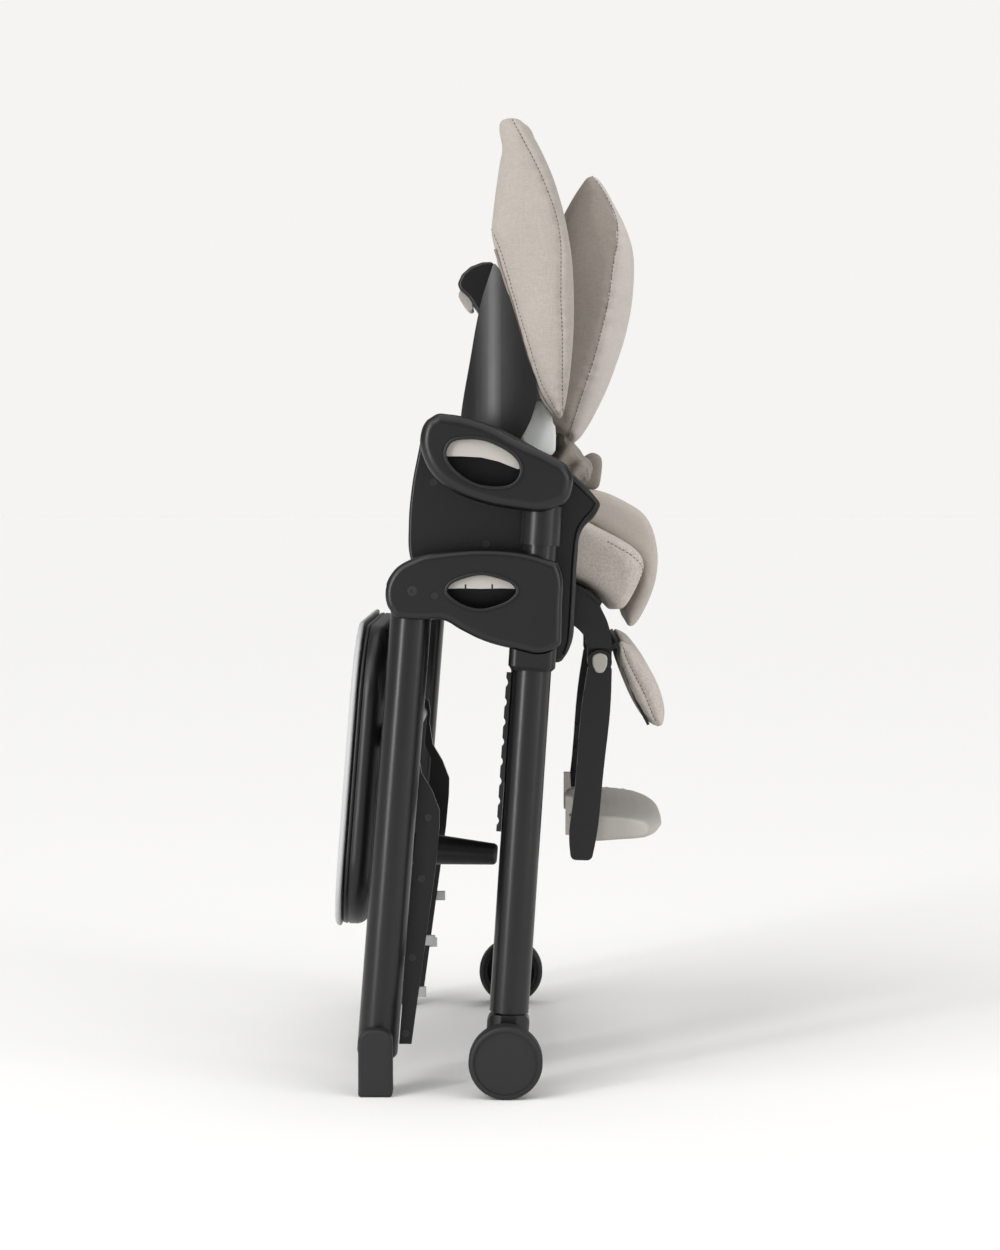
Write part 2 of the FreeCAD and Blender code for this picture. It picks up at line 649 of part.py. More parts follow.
BACK_SHELL = [
    (46, 815), (50, 803), (58, 779), (63, 757), (70, 718), (77, 680), (83, 640), (92, 605),
    (88, 588), (74, 596), (45, 612), (22, 636), (8, 662), (3, 683), (15, 728), (28, 773), (41, 809),
]
WING = [
    (43, 958), (30, 960), (13, 957), (-1, 936), (-15, 898.5), (-26, 862), (-34, 827), (-38, 777.5),
    (-37, 728), (-33, 678), (-28, 652), (-19, 652), (-15, 661), (-0.8, 684), (14.2, 729), (27.2, 774),
    (39.3, 819), (50, 845), (47, 877), (41.5, 911),
]


def plan(points, z0, z1):
    """An upright block from a top-view outline of its left half, mirrored to the right."""
    loop = points + [(-x, y) for x, y in reversed(points)]
    wire = curve(loop, 4, lambda p: Vector(p[0], p[1], z0))
    return Part.Face(wire).extrude(Vector(0, 0, z1 - z0))


def backrest():
    points = raised(BACK_SHELL)
    zs = [z for _, z in points]
    low, high = min(zs) - 5, max(zs) + 5
    profile = slab(curve(points, 6), -BACK_HALF, BACK_HALF)
    front, rear = -80, 130
    narrow = BACK_HALF - 34

    def tub(inset):
        half = BACK_HALF - inset
        back_y = [y for y, _ in points]
        deepest = max(back_y) - inset
        return plan([(half, front), (half, 0), (half - 1.5, 25), (half - 9, 52), (half - 24, 74),
                     (narrow - inset - 14, deepest - 6), (narrow - inset - 60, deepest)], low, high)

    hollow = slab(curve([(y - SHELL_WALL * 1.2, z) for y, z in points], 6), -BACK_HALF, BACK_HALF)
    hollow = hollow.common(tub(SHELL_WALL))
    ahead = slab(curve([(y - 40, z) for y, z in points], 6), -BACK_HALF, BACK_HALF)
    shell = profile.common(tub(0)).cut(hollow).cut(ahead.common(tub(SHELL_WALL)))
    shell = max(shell.Solids, key=lambda s: s.Volume)
    pivot = recline_pivot()
    boss = across(HINGE_PIN_R + 7, pivot, PIN_INNER_END, PANEL_IN - 0.4)
    shell = shell.fuse(boss).fuse(mirrored(boss))
    bore = across(HINGE_PIN_R, pivot, -PANEL_IN - 1, PANEL_IN + 1)
    keep("backrest_shell", shell.cut(bore).removeSplitter())


def recline_pivot():
    place = raised([(RECLINE_Y, RECLINE_Z)])[0]
    return side(place)


def recline_pins():
    both("recline_pins", across(HINGE_PIN_R - RUNNING_FIT, recline_pivot(), PIN_INNER_END, PANEL_IN))


def back_cushions():
    wing = slab(outline(raised(WING), 8), BACK_HALF + WING_OVER - WING_THICK, BACK_HALF + WING_OVER)
    both("back_wings", rounded(wing, 10, edge_at_x(BACK_HALF + WING_OVER)))

    pad = slab(outline(raised(pad_outline(0, BACK_PAD, 652, 956)), 8), -BACK_PAD_HALF, BACK_PAD_HALF)
    keep("back_cushion", pad)

    insert = slab(outline(raised(pad_outline(BACK_PAD + FIT, INSERT_PAD, 652, 893)), 6),
                  -INSERT_INNER, INSERT_INNER)
    keep("insert_back_pad", insert)
    rear = pad_line(BACK_PAD + FIT, 650, 888)
    wing = slab(outline(raised(INSERT_WING + rear), 7), INSERT_INNER + FIT, INSERT_BACK_HALF)
    wing = rounded(wing, 8, edge_at_x(INSERT_BACK_HALF))
    both("insert_wings", wing)

    strap = pad_line(BACK_PAD + INSERT_PAD + 3 * FIT + STRAP_THICK, 660, 800)
    back = pad_line(BACK_PAD + INSERT_PAD + 3 * FIT, 660, 800)
    band = slab(outline(raised(strap + back[::-1])), 22, 22 + STRAP_WIDTH)
    both("shoulder_straps", band)


def pad_line(ahead, low, high):
    """Side-view line a set distance ahead of the shell's inner face, bottom to top."""
    face = [(75, 640), (70, 680), (63, 718), (51, 779), (42, 803), (38, 818), (37, 845), (34.5, 890), (31, 958)]
    line = []
    for (y0, z0), (y1, z1) in zip(face, face[1:]):
        for z in (z0, z1):
            place = min(max(z, low), high)
            if z0 <= place <= z1:
                y = y0 + (y1 - y0) * (place - z0) / (z1 - z0) - ahead
                if not line or place - line[-1][1] > 1:
                    line.append((y, place))
    return line


def pad_outline(ahead, thick, low, high):
    return pad_line(ahead, low, high) + pad_line(ahead + thick, low, high)[::-1]


GRIP = [(45.9, 824), (60, 823.5), (72, 819), (81, 811), (85.5, 801), (83, 795), (74, 787),
        (67, 776), (62, 767.5), (58.4, 779), (50.4, 806)]
LEVER = [(84, 795), (75, 791), (71, 783), (69.5, 775), (74, 774), (79.5, 780), (84.5, 788)]


def recline_handle():
    housing = slab(outline(raised(GRIP), 7), -GRIP_HALF, GRIP_HALF)
    for x in (-GRIP_HALF, GRIP_HALF):
        housing = rounded(housing, 8, edge_at_x(x))
    lever_half = GRIP_HALF - 8
    lever = slab(outline(raised(LEVER), 3), -lever_half, lever_half)
    around = Part.Face(outline(raised(LEVER), 3)).makeOffset2D(FIT + 0.2)
    around.translate(Vector(-lever_half - FIT, 0, 0))
    way = around.extrude(Vector(2 * (lever_half + FIT), 0, 0))
    for step in range(5):
        room = way.copy()
        room.translate(Vector(0, 0, LEVER_TRAVEL * step / 4))
        housing = housing.cut(room)
    keep("recline_grip", max(housing.Solids, key=lambda s: s.Volume))
    keep("recline_lever", lever)


# ---------------------------------------------------------------- leg rest and footrest

KNEE = [(8, 509.8), (-26, 495.1), (-47, 484.6), (-57, 475.8), (-66, 461), (-70.5, 446), (-72.5, 431),
        (-47, 431), (-45, 441), (-36, 452), (-20, 459), (-2, 474), (8, 490)]


def rest_pivot():
    return side(raised([(REST_PIVOT_Y, REST_PIVOT_Z)])[0])


def leg_rest_brackets():
    pivot = rest_pivot()
    tongue_out = REST_ARM_IN - 0.8
    tongue_in = tongue_out - 13
    knee = slab(curve(raised(KNEE), 4), tongue_in, REST_ARM_OUT)
    neck = [(-72.2, 436), (-47.4, 436), (-47.6, 417.5), (-72, 417.5)]
    tongue = slab(outline(raised(neck)), tongue_in, tongue_out).fuse(
        across(REST_HEAD_R + 0.2, pivot, tongue_in, tongue_out))
    bracket = knee.fuse(tongue).cut(across(REST_PIN_R, pivot, tongue_in - 1, tongue_out + 1))
    both("leg_rest_brackets", bracket.removeSplitter())
    pan = nodes["seat_pan"][0].cut(bracket).cut(mirrored(bracket))
    keep("seat_pan", max(pan.Solids, key=lambda s: s.Volume))
    pin = across(REST_PIN_R - RUNNING_FIT, pivot, tongue_in, REST_ARM_OUT - 5)
    cap = across(REST_PIN_R + 3, pivot, tongue_in - 3, tongue_in)
    both("leg_rest_pins", pin.fuse(cap))


REST_ARM = [(-48.4, 415), (-43, 380), (-35, 290), (-29.5, 236), (-31, 218.5), (-52, 218), (-55.5, 235),
            (-64, 310), (-71, 380), (-72, 415)]
BUTTON = [(-52, 424), (-60, 426.5), (-67.5, 424), (-67, 414), (-63.5, 406.5), (-56, 406.5), (-52.5, 414)]


def leg_rest():
    pivot = rest_pivot()
    arm = slab(curve(raised(REST_ARM), 6), REST_ARM_IN, REST_ARM_OUT)
    arm = arm.fuse(across(REST_HEAD_R + 0.2, pivot, REST_ARM_IN, REST_ARM_OUT)).removeSplitter()
    arm = arm.cut(across(REST_PIN_R, pivot, REST_ARM_IN - 1, REST_ARM_OUT - 5))
    seat = Part.Face(outline(raised(BUTTON), 5)).makeOffset2D(FIT)
    seat.translate(Vector(REST_ARM_OUT - 4.5, 0, 0))
    arm = arm.cut(seat.extrude(Vector(10, 0, 0)))
    for i in range(4):
        y, z = raised([(-30.5 - 3.4 * i, 256 + 26 * i)])[0]
        arm = arm.cut(block(REST_ARM_IN - 1, REST_ARM_IN + 5, y - 3, y + 20, z - 5, z + 5))
    both("leg_rest_arms", max(arm.Solids, key=lambda s: s.Volume))

    button = slab(outline(raised(BUTTON), 5), REST_ARM_OUT - 1.2, REST_ARM_OUT + 3.6)
    button = rounded(button, 1.6, edge_at_x(REST_ARM_OUT + 3.6))
    pair("leg_rest_button", button)

    half = REST_ARM_IN - 0.5
    web = slab(outline(raised([(-60, 400), (-56, 346), (-62, 346), (-66, 400)])), -half, half)
    flap = [(-62, 400), (-64, 424), (-76, 435), (-79, 436.5), (-86.5, 409), (-99, 376), (-111, 352),
            (-108.5, 351), (-96, 375), (-83.5, 408.5), (-77, 430), (-68, 421), (-66, 400)]
    board = slab(outline(raised(flap)), -REST_PAD_HALF + 8, REST_PAD_HALF - 8)
    keep("leg_rest_panel", web.fuse(board).removeSplitter())
    keep("calf_cushion", slab(outline(raised(CALF), 5), -REST_PAD_HALF, REST_PAD_HALF))


CALF = [(-80.2, 441), (-100, 425), (-116, 395), (-127, 365), (-129, 350), (-122.5, 342.5), (-113.5, 347),
        (-99.6, 376), (-87.1, 409.2), (-80, 434)]
FOOTPLATE = [(-30, 260), (-58, 262), (-110, 254.5), (-123, 249.5), (-126, 245), (-116, 240), (-58, 235),
             (-32, 237)]


def footrest():
    half = REST_ARM_IN - 0.6
    plate = slab(outline(raised(FOOTPLATE), 5), -half, half)
    for x in (-half, half):
        plate = rounded(plate, 4, edge_at_x(x))
    keep("footplate", plate)
    clip = outline(raised([(-26, 279), (-33, 279), (-34, 262.4), (-29.7, 261), (-29.7, 240), (-26, 240)]))
    both("footrest_clips", slab(clip, 112, 130))


# ---------------------------------------------------------------- tray

def rounded_plate(half, low, high, corner, front, rear):
    """A plate square to the rear legs, with rounded corners, between two depths."""
    points = [(-half, low), (half, low), (half, high), (-half, high)]
    plate = slab(outline(points, corner), front, rear)
    plate.rotate(ORIGIN, Vector(0, 0, 1), 90)
    return plate


def tray():
    front = REAR_TUBE_R + TRAY_GAP
    rear = front + TRAY_DEPTH
    low, high = TRAY_TOP - TRAY_LENGTH, TRAY_TOP
    body = rounded_plate(TRAY_HALF, low, high, TRAY_CORNER, front, rear)
    body = rounded(body, 10, lambda e: abs(e.BoundBox.YMax - front) < 0.01)
    body = rounded(body, 5, lambda e: abs(e.BoundBox.YMin - rear) < 0.01)
    inside = rounded_plate(TRAY_HALF - TRAY_WALL, low + TRAY_WALL, high - TRAY_WALL,
                           TRAY_CORNER - TRAY_WALL, front + 11, rear + 1)
    keep("tray_shell", on_rear_leg(body.cut(inside)))

    wall = TRAY_WALL + 1
    flange = rounded_plate(TRAY_HALF + 1, low - 1, high + 1, TRAY_CORNER + 1, rear + FIT,
                           rear + FIT + OVERLAY_RISE)
    drop = rounded_plate(TRAY_HALF - wall, low + wall, high - wall, TRAY_CORNER - wall,
                         front + 13, rear + FIT + 1)
    wall = wall + 2
    dish = rounded_plate(TRAY_HALF - wall, low + wall, high - wall, TRAY_CORNER - wall,
                         front + 15, rear + 20)
    keep("tray_overlay", on_rear_leg(flange.fuse(drop).cut(dish).removeSplitter()))

    bar, clear = CROSSBAR_R, CROSSBAR_R + FIT
    hook = -REAR_BAR_DROP
    arm = [(front - 0.1, hook + 24), (front - 0.1, hook - 22), (clear, hook - 22), (clear, hook),
           (-clear, hook), (-clear, hook - 35), (-19, hook - 50), (-18.5, hook - 309),
           (-31, hook - 308), (-41.5, hook - 125), (-42, hook - 89), (-41, hook - 71),
           (-32, hook - 52), (-20, hook - 35), (-14.5, hook - 12), (-14.5, hook), (-12, hook + 12), (0, hook + 24)]
    arm = slab(outline(arm), TRAY_ARM_OUT - TRAY_ARM_THICK, TRAY_ARM_OUT)
    arm = arm.cut(across(clear, Vector(0, 0, hook), 0, TRAY_ARM_OUT + 5))
    screws = []
    for y, z in ((-30, -229), (-28, -291), (-25, -371), (-24.5, -448)):
        place = Vector(0, y, z)
        arm = arm.cut(across(SCREW_R, place, TRAY_ARM_OUT - 2.5, TRAY_ARM_OUT + 1))
        screws.append(on_rear_leg(screw_in(place, TRAY_ARM_OUT, TRAY_ARM_OUT - 2.5, 0.4)))
    both("tray_arms", on_rear_leg(max(arm.Solids, key=lambda s: s.Volume)))
    both("tray_arm_screws", *screws)

    post = Part.makeCone(20, 11, 122, Vector(0, front - 0.1, -281), Vector(0, -1, 0))
    post = rounded(post, 5, lambda e: abs(e.BoundBox.YMax - (front - 122.1)) < 0.01)
    keep("crotch_post", on_rear_leg(post))


# ---------------------------------------------------------------- motions

def motions():
    """Each moving piece's pivot or start, the way it moves, and its travel (mm or degrees)."""
    rear_up = on_rear_leg(Part.Vertex(0, 0, 1)).Point - HINGE
    arm_up = (side(REST_ARM[0]) - side(REST_ARM[3])).normalize()
    rest = rest_pivot()
    return [
        ("wheel spin", AXLE, X, 360.0),
        ("rear leg fold", HINGE, X, UNFOLD_ANGLE),
        ("seat height", on_front_leg(HINGE_Z), FRONT_UP, SLIDE_TRAVEL),
        ("backrest recline", recline_pivot(), X * -1, RECLINE_ANGLE),
        ("recline lever", recline_pivot(), Vector(0, 0, 1), LEVER_TRAVEL),
        ("height and fold triggers", HINGE, Vector(0, 0, 1), TRIGGER_TRAVEL),
        ("leg rest angle", rest, X * -1, REST_ANGLE),
        ("leg rest button", rest, X * -1, BUTTON_TRAVEL),
        ("footrest height", rest, arm_up, FOOT_TRAVEL),
        ("tray lift", HINGE, rear_up, TRAY_LIFT),
    ]


# ---------------------------------------------------------------- write

def main():
    front_legs()
    wheel_housings()
    wheels()
    height_racks()
    leg_casings()
    casing_fasteners()
    fold_triggers()
    rear_legs()
    inner_tubes()
    armrests()
    height_triggers()
    seat_side_panels()
    seat_pan()
    seat_cushions()
    harness()
    backrest()
    recline_pins()
    back_cushions()
    recline_handle()
    leg_rest_brackets()
    leg_rest()
    footrest()
    tray()
    for name, shapes in nodes.items():
        for s in shapes:
            if len(s.Solids) != 1 or not s.isValid():
                print("CHECK", name, len(s.Solids), s.isValid())


main()
box = FreeCAD.BoundBox()
for shapes in nodes.values():
    for shape in shapes:
        box.add(shape.BoundBox)
middle_y = (box.YMin + box.YMax) / 2
os.makedirs("parts", exist_ok=True)
for name, shapes in nodes.items():
    whole = Part.makeCompound(shapes) if len(shapes) > 1 else shapes[0]
    whole = whole.copy()
    whole.translate(Vector(0, -middle_y, 0))
    whole.exportStep("parts/" + name + ".step")
for label, place, way, travel in motions():
    print("%-26s at %s along %s by %g" % (label, place - Vector(0, middle_y, 0), way, travel))
print("size", box.XLength, box.YLength, box.ZLength, "middle_y", middle_y, len(nodes), "nodes")
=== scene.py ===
# Baby high chair, folded and standing on its own wheels and rear feet.
import math

import bmesh
import bpy
import numpy as np
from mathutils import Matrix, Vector
from mathutils.bvhtree import BVHTree


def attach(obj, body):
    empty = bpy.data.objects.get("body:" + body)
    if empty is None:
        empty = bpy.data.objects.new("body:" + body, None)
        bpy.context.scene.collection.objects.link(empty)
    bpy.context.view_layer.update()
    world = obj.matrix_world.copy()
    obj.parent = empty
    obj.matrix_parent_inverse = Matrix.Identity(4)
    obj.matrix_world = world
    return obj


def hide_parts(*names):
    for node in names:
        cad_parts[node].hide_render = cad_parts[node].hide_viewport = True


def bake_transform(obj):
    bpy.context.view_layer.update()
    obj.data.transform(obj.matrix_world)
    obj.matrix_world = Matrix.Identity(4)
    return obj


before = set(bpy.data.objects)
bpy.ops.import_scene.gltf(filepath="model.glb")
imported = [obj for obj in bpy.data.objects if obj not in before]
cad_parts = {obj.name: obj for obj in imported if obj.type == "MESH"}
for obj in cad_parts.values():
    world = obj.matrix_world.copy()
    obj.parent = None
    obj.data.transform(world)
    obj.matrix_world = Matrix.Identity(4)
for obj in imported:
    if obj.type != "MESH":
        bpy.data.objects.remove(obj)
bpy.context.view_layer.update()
scene = bpy.context.scene

# ---------------------------------------------------------------- studio
# The chair stands on a pale seamless floor that runs back to a pale sky, under three broad
# soft suns and two upright strip lamps that draw long lights in the black. The camera looks at
# the right side of the chair from a little over half its height.

camera = bpy.data.objects.new("camera", bpy.data.cameras.new("camera"))
scene.collection.objects.link(camera)
scene.camera = camera
camera.data.lens = 88.0
camera.data.sensor_width = 36.0
camera.data.clip_end = 100.0
camera.location = (-3.21, -0.0385, 0.605)
dip, swing = math.radians(2.83), math.radians(0.75)
sight = Vector((math.cos(dip) * math.cos(swing), math.cos(dip) * math.sin(swing), -math.sin(dip)))
camera.rotation_euler = sight.to_track_quat("-Z", "Y").to_euler()

PAPER = (0.915, 0.905, 0.888)
sky = bpy.data.worlds.new("studio")
scene.world = sky
sky.use_nodes = True
sky_nodes = sky.node_tree.nodes
sky_nodes.clear()
seen, felt = sky_nodes.new("ShaderNodeBackground"), sky_nodes.new("ShaderNodeBackground")
seen.inputs["Color"].default_value = (*PAPER, 1)
felt.inputs["Color"].default_value = (1, 1, 1, 1)
felt.inputs["Strength"].default_value = 0.30
choose, rays = sky_nodes.new("ShaderNodeMixShader"), sky_nodes.new("ShaderNodeLightPath")
out = sky_nodes.new("ShaderNodeOutputWorld")
link = sky.node_tree.links.new
link(rays.outputs["Is Camera Ray"], choose.inputs["Fac"])
link(felt.outputs[0], choose.inputs[1])
link(seen.outputs[0], choose.inputs[2])
link(choose.outputs[0], out.inputs["Surface"])


def sun(name, towards, strength, spread):
    """A distant soft lamp: towards points from the chair to the lamp, spread is its width in degrees."""
    lamp = bpy.data.lights.new(name, "SUN")
    lamp.energy, lamp.angle = strength, math.radians(spread)
    holder = bpy.data.objects.new(name, lamp)
    holder.rotation_euler = (-Vector(towards)).to_track_quat("-Z", "Y").to_euler()
    scene.collection.objects.link(holder)


sun("key_lamp", (-0.62, 0.72, 0.75), 1.35, 50)
sun("top_lamp", (-0.15, -0.25, 1.0), 1.4, 85)
sun("front_lamp", (-0.75, -0.8, 0.35), 0.6, 40)


def strip_lamp(name, place, width, height, watts):
    """A tall soft box that stands upright and faces the chair; it draws the long lights in the black."""
    lamp = bpy.data.lights.new(name, "AREA")
    lamp.shape, lamp.size, lamp.size_y, lamp.energy = "RECTANGLE", width, height, watts
    holder = bpy.data.objects.new(name, lamp)
    holder.location = place
    towards = Vector((0, 0, 0.5)) - Vector(place)
    holder.rotation_euler = towards.to_track_quat("-Z", "Y").to_euler()
    scene.collection.objects.link(holder)


strip_lamp("left_strip", (-2.5, 2.2, 0.75), 0.32, 2.2, 52)
strip_lamp("right_strip", (-1.5, -2.6, 0.9), 0.25, 1.8, 10)

floor_mesh = bpy.data.meshes.new("floor")
ring = [(40 * math.cos(a * math.pi / 32), 40 * math.sin(a * math.pi / 32), 0) for a in range(64)]
floor_mesh.from_pydata(ring, [], [list(range(64))])
floor = bpy.data.objects.new("floor", floor_mesh)
scene.collection.objects.link(floor)
paper = bpy.data.materials.new("paper")
paper.use_nodes = True
paper.node_tree.nodes["Principled BSDF"].inputs["Base Color"].default_value = (0.865, 0.86, 0.85, 1)
paper.node_tree.nodes["Principled BSDF"].inputs["Roughness"].default_value = 0.9
paper.node_tree.nodes["Principled BSDF"].inputs["Specular IOR Level"].default_value = 0.0
floor_mesh.materials.append(paper)

scene.view_settings.view_transform = "Standard"

# ---------------------------------------------------------------- leg tubes and crossbars
# Round steel tubes, powder coated satin black, with the coat's fine orange-peel skin. The front
# tubes carry the seat's inner tubes; the rear ones hang from the hinge in the casings.


def new_finish(name):
    """A material with only its shader and output, and a maker of nodes for it."""
    finish = bpy.data.materials.new(name)
    finish.use_nodes = True
    tree = finish.node_tree
    shader = tree.nodes["Principled BSDF"]

    def node(kind, **values):
        made = tree.nodes.new(kind)
        for key, value in values.items():
            if hasattr(made, key):
                setattr(made, key, value)
            else:
                made.inputs[key].default_value = value
        return made

    def join(a, b):
        tree.links.new(a, b)

    return finish, shader, node, join


def skin(name, colour, roughness, grain, depth, mottle=0.12, specular=0.35):
    """Paint or moulded plastic: colour with slow mottling, uneven gloss and a fine grain in relief."""
    finish, shader, node, join = new_finish(name)
    shader.inputs["Specular IOR Level"].default_value = specular
    place = node("ShaderNodeTexCoord")
    slow = node("ShaderNodeTexNoise", Scale=11.0, Detail=3.0)
    fine = node("ShaderNodeTexNoise", Scale=grain, Detail=2.0)
    tone = node("ShaderNodeMapRange")
    tone.inputs["To Min"].default_value, tone.inputs["To Max"].default_value = 1 - mottle, 1 + mottle
    shade = node("ShaderNodeMix", data_type="RGBA", blend_type="MULTIPLY")
    shade.inputs["Factor"].default_value = 1.0
    shade.inputs[6].default_value = (*colour, 1)
    gloss = node("ShaderNodeMapRange")
    gloss.inputs["To Min"].default_value = roughness - 0.05
    gloss.inputs["To Max"].default_value = roughness + 0.05
    relief = node("ShaderNodeBump", Strength=depth, Distance=0.0002)
    sag = node("ShaderNodeBump", Strength=0.25, Distance=0.002)
    join(place.outputs["Object"], slow.inputs["Vector"])
    join(place.outputs["Object"], fine.inputs["Vector"])
    join(slow.outputs["Fac"], tone.inputs["Value"])
    join(tone.outputs["Result"], shade.inputs[7])
    join(shade.outputs[2], shader.inputs["Base Color"])
    join(slow.outputs["Fac"], gloss.inputs["Value"])
    join(gloss.outputs["Result"], shader.inputs["Roughness"])
    join(fine.outputs["Fac"], relief.inputs["Height"])
    join(slow.outputs["Fac"], sag.inputs["Height"])
    join(sag.outputs["Normal"], relief.inputs["Normal"])
    join(relief.outputs["Normal"], shader.inputs["Normal"])
    return finish


def coat(finish, *names):
    """The CAD pieces that keep their own shape get their finish."""
    for name in names:
        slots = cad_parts[name].data.materials
        slots.clear()
        slots.append(finish)


powder_coat = skin("powder_coat", (0.005, 0.005, 0.0054), 0.30, 1500, 0.08, specular=0.42)
coat(powder_coat, "front_leg_left", "front_leg_right", "rear_leg_left", "rear_leg_right",
     "front_crossbar", "rear_crossbar", "inner_tubes")
moulded_black = skin("moulded_black", (0.005, 0.005, 0.0054), 0.33, 2600, 0.16, specular=0.42)
coat(moulded_black, "wheel_housings", "height_racks", "leg_casing_outer_left",
     "leg_casing_outer_right", "leg_casings_inner", "leg_collars", "rear_leg_caps",
     "armrest_outer_left", "armrest_outer_right", "armrests_inner", "armrest_collars",
     "seat_side_panels", "seat_pan", "leg_rest_brackets", "backrest_shell", "recline_grip",
     "leg_rest_arms", "tray_arms", "crotch_post", "leg_rest_panel")
tyre_rubber = skin("tyre_rubber", (0.013, 0.013, 0.0135), 0.55, 1800, 0.30)
coat(tyre_rubber, "wheel_tyre_left", "wheel_tyre_right", "rear_feet", "wheel_hub_left", "wheel_hub_right")
black_steel = skin("blackened_steel", (0.012, 0.012, 0.013), 0.32, 900, 0.15, specular=0.6)
coat(black_steel, "wheel_axles", "casing_screws", "rear_hinge_pins", "panel_screws", "recline_pins",
     "leg_rest_pins", "tray_arm_screws")
warm_plastic = skin("warm_plastic", (0.42, 0.395, 0.365), 0.45, 2200, 0.15, 0.05)
coat(warm_plastic, "fold_trigger_left", "fold_trigger_right", "height_trigger_left",
     "height_trigger_right", "leg_rest_button_left", "leg_rest_button_right", "recline_lever",
     "footrest_clips")

# ---------------------------------------------------------------- tray and its overlay
# A black moulded tray, hooked on behind the rear legs, with rounded corners and a groove round its
# rim. A thin pale overlay is pressed into it and laps the rim by a few millimetres.


OUTLINE_ZERO = -0.0385050       # where in the frame, front to back, the side outlines count from


def chair_side(points):
    """Side-view points, back and up in millimetres, as places in the frame in metres."""
    return [Vector((y / 1000 + OUTLINE_ZERO, z / 1000)) for y, z in points]


def smooth_path(points, gap=0.004, closed=False):
    """Points of a smooth line through the given ones, about a gap apart."""
    spots = [Vector(p) for p in points]
    count = len(spots)
    path = []
    for i in range(count if closed else count - 1):
        if closed:
            a, b, c, d = (spots[(i + k) % count] for k in (-1, 0, 1, 2))
        else:
            a, b, c, d = spots[max(i - 1, 0)], spots[i], spots[i + 1], spots[min(i + 2, count - 1)]
        steps = max(1, round((c - b).length / gap))
        for k in range(steps):
            t = k / steps
            path.append(0.5 * (2 * b + (c - a) * t + (2 * a - 5 * b + 4 * c - d) * t * t
                               + (3 * b - a - 3 * c + d) * t ** 3))
    return path if closed else path + [spots[-1]]


def inset(loop, depth):
    """The closed side-view loop drawn in by a depth."""
    area = sum(a.x * b.y - b.x * a.y for a, b in zip(loop, loop[1:] + loop[:1]))
    turn = 1 if area > 0 else -1
    drawn = []
    for i, spot in enumerate(loop):
        way = (loop[(i + 2) % len(loop)] - loop[i - 2]).normalized()
        drawn.append(spot + Vector((-way.y, way.x)) * (turn * depth))
    return drawn


def new_object(name, mesh):
    made = bpy.data.objects.new(name, mesh)
    scene.collection.objects.link(made)
    return made


def mirror_of(piece, name):
    """The same piece for the other side of the chair."""
    mesh = piece.data.copy()
    for v in mesh.vertices:
        v.co.x = -v.co.x
    mesh.flip_normals()
    return new_object(name, mesh)


def covered(piece, finishes, body, nodes=()):
    """Give a finished piece its materials and fix it to its body."""
    for finish in finishes:
        piece.data.materials.append(finish)
    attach(piece, body)
    if nodes:
        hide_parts(*nodes)
    return piece


def closed_mesh(name, corners, faces):
    """A closed mesh with its faces turned outward and its four-sided ones shaded smooth."""
    mesh = bpy.data.meshes.new(name)
    mesh.from_pydata(corners, [], faces)
    shape = bmesh.new()
    shape.from_mesh(mesh)
    bmesh.ops.recalc_face_normals(shape, faces=shape.faces)
    for face in shape.faces:
        face.smooth = len(face.verts) == 4
    shape.to_mesh(mesh)
    shape.free()
    return mesh


def lofted(name, loop, rings, spot):
    """A skin through rings: each is the loop drawn in by an amount, at a depth, closed at both ends."""
    corners, faces, count = [], [], len(loop)
    for depth, amount in rings:
        corners += [spot(p, depth) for p in inset(loop, amount)]
    for r in range(len(rings) - 1):
        for i in range(count):
            k = (i + 1) % count
            faces.append((r * count + i, r * count + k, (r + 1) * count + k, (r + 1) * count + i))
    faces += [list(range(count))[::-1], list(range(len(corners) - count, len(corners)))]
    return closed_mesh(name, corners, faces)


LEAN = math.radians(4.5)
HINGE = chair_side([(123.8, 492)])[0]


def behind_legs(p, depth):
    """From the tray's own plane, across and along the rear legs, to the chair."""
    return (p.x, HINGE.x + depth * math.cos(LEAN) - p.y * math.sin(LEAN),
            HINGE.y + p.y * math.cos(LEAN) + depth * math.sin(LEAN))


TRAY_HALF, TRAY_LOW, TRAY_HIGH, TRAY_CORNER = 0.205, -0.346, -0.042, 0.075
tray_loop = []
for turn, (cx, cz) in enumerate(((1, 1), (-1, 1), (-1, -1), (1, -1))):
    middle = Vector((cx * (TRAY_HALF - TRAY_CORNER),
                     (TRAY_HIGH - TRAY_CORNER) if cz > 0 else (TRAY_LOW + TRAY_CORNER)))
    for step in range(17):
        way = math.radians(90 * turn + step * 90 / 16)
        tray_loop.append(middle + Vector((math.cos(way), math.sin(way))) * TRAY_CORNER)
FACE, RIM = 0.0206, 0.0486
shell_rings = [(0.0316, 0.016), (0.0322, 0.009), (0.036, 0.005), (RIM - 0.001, 0.0046), (RIM, 0.0038),
               (RIM, 0.0026), (RIM - 0.0008, 0.0014), (RIM - 0.0026, 0.0004), (RIM - 0.0050, 0),
               (RIM - 0.0056, 0.0011), (RIM - 0.0068, 0.0011), (RIM - 0.0074, 0), (FACE + 0.0125, 0.0004),
               (FACE + 0.0085, 0.0018), (FACE + 0.0050, 0.0045), (FACE + 0.0020, 0.0085),
               (FACE + 0.0004, 0.0135), (FACE, 0.019)]
tray_body = new_object("tray_body", lofted("tray_body", tray_loop, shell_rings, behind_legs))
covered(tray_body, [moulded_black], "tray", ["tray_shell"])

